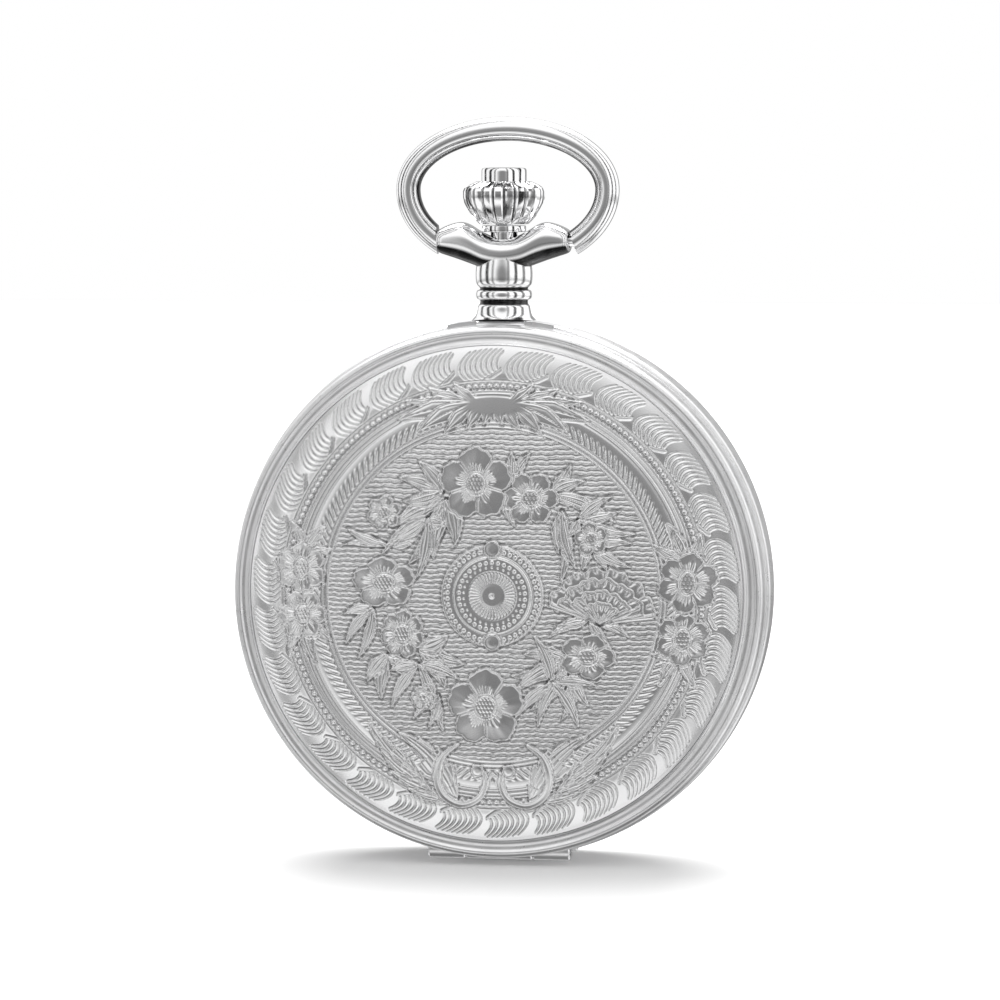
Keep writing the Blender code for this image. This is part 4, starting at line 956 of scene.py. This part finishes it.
def back_relief(radius):
    """The back's pattern: the same rings and border round a sunburst with leaves and a turned disc."""
    relief = Relief(radius)
    hatch(relief)
    rings(relief)
    shells(relief)
    part, du, dv = relief.window((0, 0), FIELD_R + 0.2)
    rho, phi = np.hypot(du, dv), np.arctan2(dv, du)
    rays = wave(96, phi) ** 1.5 * soft(5.9, 6.6, rho) * soft(13.6, 12.6, rho)
    relief.blend(soft(5.6, 5.9, rho) * soft(13.9, 13.7, rho), -0.10 + 0.085 * rays, part)
    relief.raised(part, 5.5 - rho, -0.012, edge=0.09, rim=0.02, moat=0.09)
    rosette = wave(2 * np.pi / 0.62, rho + 0.30 * np.cos(12 * phi)) ** 1.6
    relief.h[part] -= 0.06 * rosette * soft(0.5, 0.8, rho) * soft(4.9, 4.5, rho)
    for turn in range(8):
        angle = 45.0 * turn + 22.5
        leaf(relief, polar(6.3, angle - 9), polar(12.4, angle), 0.16, 1.0, lobes=6)
        leaf(relief, polar(6.3, angle + 9), polar(12.4, angle + 3), -0.16, 1.0, lobes=6)
        flower(relief, polar(10.6, angle - 22.5), 1.5, 5, angle, 0.32)
    relief.h = np.minimum(relief.h, 0.0)
    return relief


def add_engraving():
    engraved_plates("front", front_relief(PANEL_R), FRONT_CELLS, front_depth, 1, "front_lid")
    # the back's pattern is seen from behind, so it is mirrored here
    back = back_relief(PANEL_R)
    back.h = back.h[:, ::-1]
    engraved_plates("back", back, BACK_CELLS, back_depth, -1, "back_cover")


# ---------------------------------------------------------------- case


def with_hinge(shell, depth, web, room):
    """A lid's shell with its web, its knuckle, room for the band's knuckles and the pin's bore."""
    web = slab((-KNUCKLE_HALF, KNUCKLE_HALF), web, LID_WEB_Z, 0.1)
    near, far = KNUCKLE_HALF + RUNNING_GAP / 4, HINGE_HALF + RUNNING_GAP
    rooms = [slab(width, room, LID_ROOM_Z, 0.02) for width in ((near, far), (-far, -near))]
    shell = joined(shell, web, pin(KNUCKLE_R, KNUCKLE_HALF, depth))
    return cut(shell, *rooms, pin(PIN_BORE_R, KNUCKLE_HALF + 1.1, depth, edge=0.05))


def lid_shell(name, node, panel, roll, foot, inside, *hinge):
    """A cover's turned shell: its panel's bed, rolled edge, foot and hollow, with its hinge."""
    bed = [(r, panel(r)) for r in np.linspace(0, PLATE_R + 0.03, 16)]
    outline = np.vstack([bed, smoothed(roll, 4), foot, smoothed(inside, 4)])
    shell = with_hinge(lathe(outline, ACROSS, closed=False), *hinge)
    finished(name, shell, node, "case_silver")


def add_covers():
    # how far the lid's rolled edge lies behind its top, from the panel's edge outwards
    roll = [(21.36, 1.48), (21.42, 1.66), (21.62, 1.84), (21.92, 1.93), (22.20, 1.90), (22.42, 1.80)]
    roll += [(22.66, 1.86), (22.88, 2.15), (23.0, 2.65), (LID_R, 3.3)]
    lid_shell(
        "lid_shell",
        "front_lid",
        lambda r: front_depth(r) - PLATE_SKIN,
        [(r, LID_TOP - fall) for r, fall in roll],
        [(LID_R, 9.35), (22.98, 9.2), (22.85, LID_FOOT), (21.78, LID_FOOT), (LID_INNER_R, 9.23)],
        [(LID_INNER_R, 10.9), (21.3, 11.35), (18, 12.05), (12, 12.5), (6, 12.69), (0, 12.75)],
        LID_HINGE_DEPTH,
        (8.95, 10.1),
        (8.0, 10.0),
    )
    # the back cover's rolled edge, by its depth
    roll = [(21.36, 0.97), (21.42, 1.15), (21.62, 1.33), (21.92, 1.41), (22.20, 1.38), (22.42, 1.28)]
    roll += [(22.66, 1.34), (22.88, 1.62), (23.0, 2.1), (LID_R, 2.7)]
    lid_shell(
        "cover_shell",
        "back_cover",
        lambda r: back_depth(r) + PLATE_SKIN,
        roll,
        [(LID_R, 3.85), (22.98, 4.0), (22.85, COVER_FOOT), (21.78, COVER_FOOT), (LID_INNER_R, 3.97)],
        [(LID_INNER_R, 2.5), (21.2, 2.0), (19, 1.3), (15.5, 0.94), (8, 0.9), (0, 0.9)],
        BACK_HINGE_DEPTH,
        (3.1, 4.25),
        (3.2, 5.2),
    )


def add_case_band():
    middle = (BAND_BACK + BAND_FRONT) / 2
    outer = [(23.12, BAND_FRONT - 0.06), (23.36, 8.6), (23.45, 7.9), (CASE_R, middle), (23.45, 5.3)]
    outer += [(23.36, 4.6), (23.12, BAND_BACK + 0.06)]
    inner = [(22.98, BAND_BACK), (BAND_INNER_R, BAND_BACK), (BAND_INNER_R, BAND_FRONT), (22.98, BAND_FRONT)]
    band = lathe(np.vstack([smoothed(outer, 4), inner]), ACROSS)
    band = cut(band, rod(1.75, 20, 25))
    # shallow grooves over the front edge to each side of the pendant, for a nail
    groove = rounded([(22.3, 8.45), (24.0, 8.45), (24.0, 9.3), (22.3, 9.3)], 0.1)
    band = cut(band, *[lathe(groove, ACROSS, 16, start=a, end=a + 6.3) for a in (78.5, 95.2)])
    half = (HINGE_HALF - KNUCKLE_HALF - RUNNING_GAP) / 2
    reach = HINGE_HALF + 2 * RUNNING_GAP
    for front, depth in ((1, LID_HINGE_DEPTH), (-1, BACK_HINGE_DEPTH)):
        gap = sorted((depth - front, depth + front * 0.5))
        band = cut(band, slab((-reach, reach), gap, BAND_GAP_Z, 0.02))
        deep = sorted((depth - front * 1.3, depth))
        for side in (-1, 1):
            x = side * (KNUCKLE_HALF + HINGE_HALF + RUNNING_GAP) / 2
            foot = slab((x - half + 0.05, x + half - 0.05), deep, BAND_FOOT_Z, 0.05)
            band = joined(band, foot, pin(KNUCKLE_R, half, depth, x))
        band = cut(band, pin(PIN_BORE_R, HINGE_HALF + 0.1, depth, edge=0.05))
    finished("band_ring", band, "case_band", "case_silver")


def add_hinge_pins():
    for name, node, depth in (
        ("lid_pin", "lid_hinge_pin", LID_HINGE_DEPTH),
        ("cover_pin", "back_hinge_pin", BACK_HINGE_DEPTH),
    ):
        finished(name, pin(PIN_R, HINGE_HALF - 0.1, depth, edge=0.1), node, "bright_steel")


def add_bezel_and_crystal():
    profile = [(18.86, 9.72), (18.86, 10.5), (19.2, 10.86), (20.6, 10.4), (21.38, 9.6), (21.38, 9.08)]
    profile += [(21.03, 9.06), (21.03, 8.77), (20.77, 8.77), (20.77, 9.06), (18.25, 9.3)]
    ring = lathe(rounded(profile, 0.14, 3), ACROSS)
    # room for the lid's catch at the top and a notch to prise at the foot
    notch = lathe([(19.7, 8.5), (22.0, 8.5), (22.0, 11.5), (19.7, 11.5)], ACROSS, 6, start=285.5, end=294.5)
    ring = cut(ring, slab((-1.8, 1.8), (8.5, 11.5), (19.4, 22.0), 0.1), notch)
    finished("bezel_ring", ring, "bezel", "polished_silver")
    top = smoothed([(0, 10.75), (9, 10.66), (15, 10.48), (18.1, 10.38), (18.72, 10.26)], 5)
    under = smoothed([(18.72, 9.82), (15, 9.92), (9, 10.05), (0, 10.12)], 5)
    glass = lathe(np.vstack([top, [(18.8, 10.15), (18.8, 9.9)], under]), ACROSS, 160, closed=False)
    finished("crystal_dome", glass, "crystal", "crystal_glass", sharp=40)


# ---------------------------------------------------------------- pendant, crown and bow


def saddle_mesh():
    """The yoke over the neck: a round-backed bar whose outline dips in the middle."""
    tops = [(0, 30.45), (1.0, 30.55), (2.1, 31.05), (3.0, 31.6), (3.75, 31.8), (4.7, 31.6), (5.7, 31.15)]
    floors = [(0, 27.55), (1.6, 27.75), (2.6, 28.1), (4.0, 28.6), (5.7, 29.15)]
    tops, floors = smoothed(tops, 5), smoothed(floors, 5)
    # stations from the middle to the rounded end, and how far each is drawn in
    reach = np.concatenate([np.linspace(0, 5.35, 22), [5.5, 5.6, 5.66, PENDANT_HALF]])
    shrink = np.concatenate([np.ones(22), [0.985, 0.96, 0.93, 0.88]])
    places = np.concatenate([-reach[:0:-1], reach])
    shrinks = np.concatenate([shrink[:0:-1], shrink])
    turn = np.radians(np.arange(48) * 7.5)
    c, s = (np.sign(way) * np.abs(way) ** 0.82 for way in (np.cos(turn), np.sin(turn)))
    rings = []
    for x, scale in zip(places, shrinks):
        top, floor = (np.interp(abs(x), line[:, 0], line[:, 1]) for line in (tops, floors))
        deep = (2.3 - 0.35 * (abs(x) / PENDANT_HALF) ** 2) * scale
        y, z = -STEM_DEPTH + deep * c, (top + floor) / 2 + (top - floor) / 2 * scale * s
        rings.append(np.stack([x + 0 * turn, y, z], axis=-1) * MM)
    return skin(rings)


def add_pendant():
    side = [(2.30, NECK_TOP), (2.42, 27.9), (2.46, 27.2), (2.40, 26.55), (2.20, 26.25), (2.08, 26.12)]
    side += [(2.10, 25.98), (2.34, 25.86), (2.41, 25.55), (2.34, 25.22), (2.10, 25.08), (2.06, 24.9)]
    side += [(2.10, 24.74), (2.26, 24.55), (2.34, 24.1), (2.48, 23.7), (2.78, 23.35), (2.9, 23.0)]
    side = smoothed([*side, (2.9, NECK_FOOT)], 4)
    neck = lathe(np.vstack([[(0, NECK_TOP)], side, [(0, NECK_FOOT)]]), round_stem, 96, closed=False)
    neck = cut(neck, rod(CASE_R - 0.02, 3.0, 10.2, ACROSS, 240))
    neck = joined(neck, saddle_mesh(), rod(1.65, 21.4, 24.5))
    neck = cut(neck, rod(1.25, 26.5, 33.0), rod(0.95, 20.0, 27.0), rod(0.62, -8.0, 8.0, ON_BOW_PIVOT, 32))
    # painted shade in the neck's grooves and under the saddle's wings, where the surface faces down
    points, normals = points_of(neck)
    reach = np.hypot(points[:, 0], points[:, 1] + STEM_DEPTH)
    grooves = np.where(reach < 2.6, soft(2.10, 2.26, reach), 1.0)
    under = soft(-0.45, -0.12, normals[:, 2])
    keep_relief_and_shade(neck, 0.95 * np.where(points[:, 2] < 27.0, grooves, under))
    finished("pendant_neck", neck, "pendant", "painted_shade_silver", sharp=35)


def bow_section():
    """The wire's section as (outward, sideways): round, with a narrow band along its inner side."""
    turn = np.radians(np.arange(48) * 7.5)
    inner = np.abs(np.degrees(np.arctan2(np.sin(turn), -np.cos(turn))))
    radius = BOW_WIRE_R - 0.11 * np.exp(-(((inner - 54) / 7.0) ** 2)) - 0.03 * (inner < 48)
    outward = np.maximum(radius * np.cos(turn), -0.97)
    return outward, radius * np.sin(turn)


def add_bow():
    outward, sideways = bow_section()
    rings = []
    for turn in np.radians(np.linspace(-54.0, 234.0, 145)):
        rise = BOW_RISE if sin(turn) > 0 else BOW_DROP
        x, z = BOW_X + BOW_HALF * cos(turn), BOW_MID_Z + rise * sin(turn)
        normal = np.array([rise * cos(turn), BOW_HALF * sin(turn)])
        normal = normal / hypot(*normal)
        ring = [x + outward * normal[0], sideways - STEM_DEPTH, z + outward * normal[1]]
        rings.append(np.stack(ring, axis=-1) * MM)
    # the saddle's room between the bow's ends, then a pivot at each end
    gap = PENDANT_HALF + 0.1
    room = [(-gap, 26.0), (-gap, 33.0), (gap, 33.0), (gap, 30.9), (6.62, 28.6), (7.4, 26.0)]
    wire = cut(skin(rings), prism(room, 3.0, 10.0))
    wire = joined(wire, rod(0.5, -6.7, -4.5, ON_BOW_PIVOT, 32), rod(0.5, 4.5, 6.7, ON_BOW_PIVOT, 32))
    # painted shade on the side that faces the bow's middle
    points, normals = points_of(wire)
    inward = np.stack([BOW_X - points[:, 0], 0 * points[:, 0], BOW_MID_Z - points[:, 2]], axis=-1)
    inward /= np.linalg.norm(inward, axis=1)[:, None]
    keep_relief_and_shade(wire, 0.95 * soft(0.72, 0.52, (inward * normals).sum(axis=1)))
    finished("bow_ring", wire, "bow", "painted_shade_silver", sharp=35)


def add_crown():
    flutes, per = 22, 8
    angles = np.radians(np.arange(flutes * per) * 360 / (flutes * per))
    phase = (angles * flutes / (2 * pi)) % 1.0 - 0.5
    facet = cos(pi / flutes) / np.cos(phase * 2 * pi / flutes)
    groove = np.exp(-(((np.abs(phase) - 0.5) / 0.12) ** 2))
    profile = [(0.86, 31.7), (2.0, 31.62), (2.12, 31.64), (2.3, 31.8), (2.74, 32.3), (3.14, 32.9)]
    profile += [(3.42, 33.45), (3.53, 33.95), (3.53, 34.45), (3.42, 34.72), (3.0, 35.0), (2.5, 35.22)]
    profile += [(2.42, 35.28), (2.2, 35.3), (2.1, 35.24), (2.08, 34.46), (0.6, 34.45), (0.6, 33.3)]
    profile += [(0.86, 33.3)]
    rings, polish_and_shade = [], []
    for radius, height in profile:
        fluted = np.clip((radius - 2.2) / 0.5, 0, 1) * (31.7 < height < 35.25)
        shape = (1 + 0.014 * fluted) * (1 - fluted + fluted * facet) * (1 - 0.085 * fluted * groove)
        rings.append(round_stem(radius * shape, height, angles))
        # the grooves between the flutes are kept dark, as painted shade
        polish_and_shade.append(1.0 - fluted * groove)
    crown = skin(rings, closed=True)
    keep_relief_and_shade(crown, np.concatenate(polish_and_shade))
    finished("crown_fluted", crown, "crown", "fluted_silver", sharp=18)
    button = [(0, 36.5), (1.2, 36.49), (1.7, 36.46), (1.86, 36.42), (1.94, 36.3), (1.95, 36.1)]
    button += [(1.95, 35.2), (0.5, 35.2), (0.5, 34.1), (0, 34.1)]
    cap = lathe(button, round_stem, 96, closed=False)
    finished("button_cap", cap, "push_button", "polished_silver")
    sleeve = [(0.86, 31.5), (1.9, 31.5), (1.9, 30.95), (1.15, 30.95), (1.15, 27.0), (0.86, 27.0)]
    tube = lathe(rounded(sleeve, 0.1, 3), round_stem, 96)
    finished("stem_sleeve", tube, "crown_sleeve", "polished_silver")


# ---------------------------------------------------------------- dial


def flat_print(name, marks):
    """Several thin printed marks on the dial as one piece."""
    finished(name, merged(marks), "dial", "dial_ink", replaced=False)


def numeral(text, angle):
    """A numeral whose foot points at the dial's middle."""
    half_thick = 0.012
    curve = bpy.data.curves.new("numeral", "FONT")
    curve.body, curve.size, curve.extrude = text, 3.5 * MM, half_thick * MM
    curve.align_x, curve.align_y = "CENTER", "CENTER"
    curve.space_character = 0.92
    obj = in_scene("numeral", curve)
    mesh = evaluated(obj)
    bpy.data.objects.remove(obj, do_unlink=True)
    x, z = polar(14.4, angle)
    stretch = Matrix.Diagonal((0.82, 1.25, 1.0, 1.0))
    turn = Matrix.Rotation(radians(angle - 90), 4, "Z")
    stand = Matrix.Rotation(radians(90), 4, "X")
    place = Vector((x, -(DIAL_FRONT + PRINT_GAP + half_thick), z)) * MM
    mesh.transform(Matrix.Translation(place) @ stand @ turn @ stretch)
    return mesh


def tick(angle, inner, outer, width, depth, centre=(0.0, 0.0)):
    """A printed line towards the middle of a track."""
    a, b = (np.array(polar(radius, angle, centre)) for radius in (inner, outer))
    side = np.array(polar(width / 2, angle + 90))
    return prism([a + side, b + side, b - side, a - side], depth, depth + PRINT_THICK)


def printed_ring(radius, width, depth, centre=(0.0, 0.0)):
    inner, outer, top = radius - width / 2, radius + width / 2, depth + PRINT_THICK
    section = [(inner, depth), (outer, depth), (outer, top), (inner, top)]
    return lathe(section, about_depth(*centre), 144)


def add_dial():
    hole, edge = 0.95, DIAL_R - 0.02
    face = rounded([(hole, DIAL_BACK), (edge, DIAL_BACK), (edge, DIAL_FRONT), (hole, DIAL_FRONT)], 0.08)
    seconds_axis = about_depth(*SECONDS_CENTRE)
    sunk, clear = DIAL_FRONT - SECONDS_SINK, DIAL_FRONT + 0.6
    sink, bore = rod(4.7, sunk, clear, seconds_axis, 96), rod(0.45, 8.0, clear, seconds_axis, 24)
    dial = cut(lathe(face, ACROSS, 160), sink, bore)
    finished("enamel_dial", dial, "dial", "enamel")
    # the seconds dial takes the place of VI
    numerals = ["XII", "I", "II", "III", "IIII", "V", "", "VII", "VIII", "IX", "X", "XI"]
    flat_print("dial_numerals", [numeral(text, 90 - 30 * i) for i, text in enumerate(numerals) if text])
    top = DIAL_FRONT + PRINT_GAP
    inner, outer = 17.1, 18.1
    track = [printed_ring(radius, 0.07, top) for radius in (inner, outer)]
    track += [tick(6 * i, inner, outer, 0.09 if i % 5 else 0.24, top) for i in range(60)]
    flat_print("dial_minute_track", track)
    low = sunk + PRINT_GAP
    inner, outer = 3.6, 4.25
    small = [printed_ring(radius, 0.05, low, SECONDS_CENTRE) for radius in (outer, inner)]
    for i in range(60):
        start, width = inner if i % 15 else 3.3, 0.05 if i % 5 else 0.14
        small.append(tick(6 * i, start, outer, width, low, SECONDS_CENTRE))
    flat_print("dial_seconds_track", small)


# ---------------------------------------------------------------- CAD pieces that stay


NODE_LOOKS = {
    "striped_nickel": ("main_plate", "barrel_bridge", "train_bridge", "balance_cock", "pallet_bridge"),
    "nickel": ("movement_ring",),
    "gilt": ("mainspring_barrel", "center_wheel", "third_wheel", "fourth_wheel", "balance_wheel"),
    "brass": ("minute_wheel", "hour_wheel"),
    "ruby": ("third_jewel", "fourth_jewel", "escape_jewel", "balance_jewel"),
    "spring_steel": ("lock_spring", "lift_spring", "mainspring", "click_spring"),
    "blued_steel": ("hour_hand", "minute_hand", "second_hand", "hairspring", "ratchet_screw"),
    "blued_screw": ("balance_cock_screw",)
    + tuple(f"{bridge}_bridge_screw_{i}" for bridge in ("barrel", "train") for i in (1, 2)),
}


def dress_cad_nodes():
    """Every CAD node that is still shown gets its own metal, stone or steel."""
    looks = {node: look for look, nodes in NODE_LOOKS.items() for node in nodes}
    for name, obj in frame["nodes"].items():
        if obj.hide_render:
            continue
        obj.data.materials.clear()
        obj.data.materials.append(LOOKS[looks.get(name, "bright_steel")].material)
        obj.data.shade_smooth()
        obj.data.set_sharp_from_angle(angle=radians(28))


# ---------------------------------------------------------------- studio


def add_camera():
    turn, rise = radians(VIEW_AZIMUTH), radians(VIEW_ELEVATION)
    away = Vector((sin(turn) * cos(rise), -cos(turn) * cos(rise), sin(rise)))
    data = bpy.data.cameras.new("camera")
    data.lens = data.sensor_width * CAMERA_FAR / FRAME_WIDTH
    data.clip_start, data.clip_end = 0.01, 20.0
    camera = in_scene("camera", data)
    camera.location = Vector(VIEW_TARGET) + away * CAMERA_FAR
    camera.rotation_euler = (-away).to_track_quat("-Z", "Y").to_euler()
    bpy.context.scene.camera = camera


class Sky(Nodes):
    """The studio round the watch, as a light that depends on direction alone."""

    def __init__(self):
        world = bpy.data.worlds.new("studio")
        bpy.context.scene.world = world
        world.use_nodes = True
        super().__init__(world.node_tree)
        self.tree.nodes.clear()
        way = self.node("TexCoord").outputs["Generated"]
        self.x, self.y, self.z = self.node("SeparateXYZ", Vector=way).outputs

    def step(self, value, *ends):
        return self.spread(value, *ends, interpolation_type="SMOOTHSTEP")

    def band(self, value, middle, half, soft_edge, dark):
        """dark inside a band of the value, 1 outside it."""
        off = self.math("ABSOLUTE", self.math("SUBTRACT", value, middle))
        return self.step(off, half, half + soft_edge, dark, 1.0)

    def finish(self, level):
        """Light of this level, and plain white where the camera sees past the watch."""
        light = self.node("Background", Color=level)
        white = self.node("Background", Color=(1.0, 1.0, 1.0, 1.0))
        mix = self.node("MixShader", Fac=self.node("LightPath").outputs["Is Camera Ray"])
        self.feed(mix.inputs[1], light.outputs[0])
        self.feed(mix.inputs[2], white.outputs[0])
        self.node("OutputWorld", Surface=mix.outputs[0])


def add_studio():
    sky = Sky()
    front = sky.math("MULTIPLY", sky.y, -1.0)
    turn = sky.math("MULTIPLY", sky.math("ARCTAN2", sky.x, front), 180 / pi)
    # a grey patch where the camera stands; each part after it multiplies the level
    level = sky.step(front, 0.84, 0.992, 1.04, 0.25)
    behind = [sky.band(sky.y, 0.88, 0.05, 0.05, 0.30), sky.step(sky.y, 0.93, 0.992, 1.0, 0.34)]
    bright_sides = [sky.step(sky.z, 0.35, 0.85, 1.0, 1.15), sky.step(sky.x, 0.35, 0.75, 1.0, 1.15)]
    dim_foot = [sky.band(sky.z, -0.17, 0.03, 0.06, 0.55), sky.step(sky.z, -0.62, -0.85, 1.0, 0.25)]
    uprights = [sky.band(turn, middle, half, 3.0, dark) for middle, half, dark in DARK_BANDS]
    for part in behind + bright_sides + dim_foot + uprights:
        level = sky.math("MULTIPLY", level, part)
    sky.finish(level)
    near, low = -FLOOR_NEAR, CAD_BOX[0].z - FLOOR_DROP
    corners = [(x, y, low) for y in (near, FLOOR_HALF) for x in (-FLOOR_HALF, FLOOR_HALF)]
    mesh = bpy.data.meshes.new("floor")
    mesh.from_pydata(corners, [], [(0, 1, 3, 2)])
    floor = in_scene("floor", mesh)
    paper = Look("paper", (0.93, 0.93, 0.93), 0.9, 0.0)
    paper.set(Emission_Color=(1.0, 1.0, 1.0, 1.0), Emission_Strength=0.05)
    paper.bump(paper.noise(6.0), 0.01, 0.2)
    mesh.materials.append(paper.material)
    floor.visible_glossy = False
    key = bpy.data.lights.new("key", "SUN")
    key.energy, key.angle = SUN_ENERGY, radians(SUN_ANGLE)
    in_scene("key", key).rotation_euler = (-Vector(SUN_FROM)).to_track_quat("-Z", "Y").to_euler()
    bpy.context.scene.view_settings.view_transform = "Standard"


add_engraving()
add_covers()
add_case_band()
add_hinge_pins()
add_bezel_and_crystal()
add_pendant()
add_bow()
add_crown()
add_dial()
dress_cad_nodes()
add_camera()
add_studio()
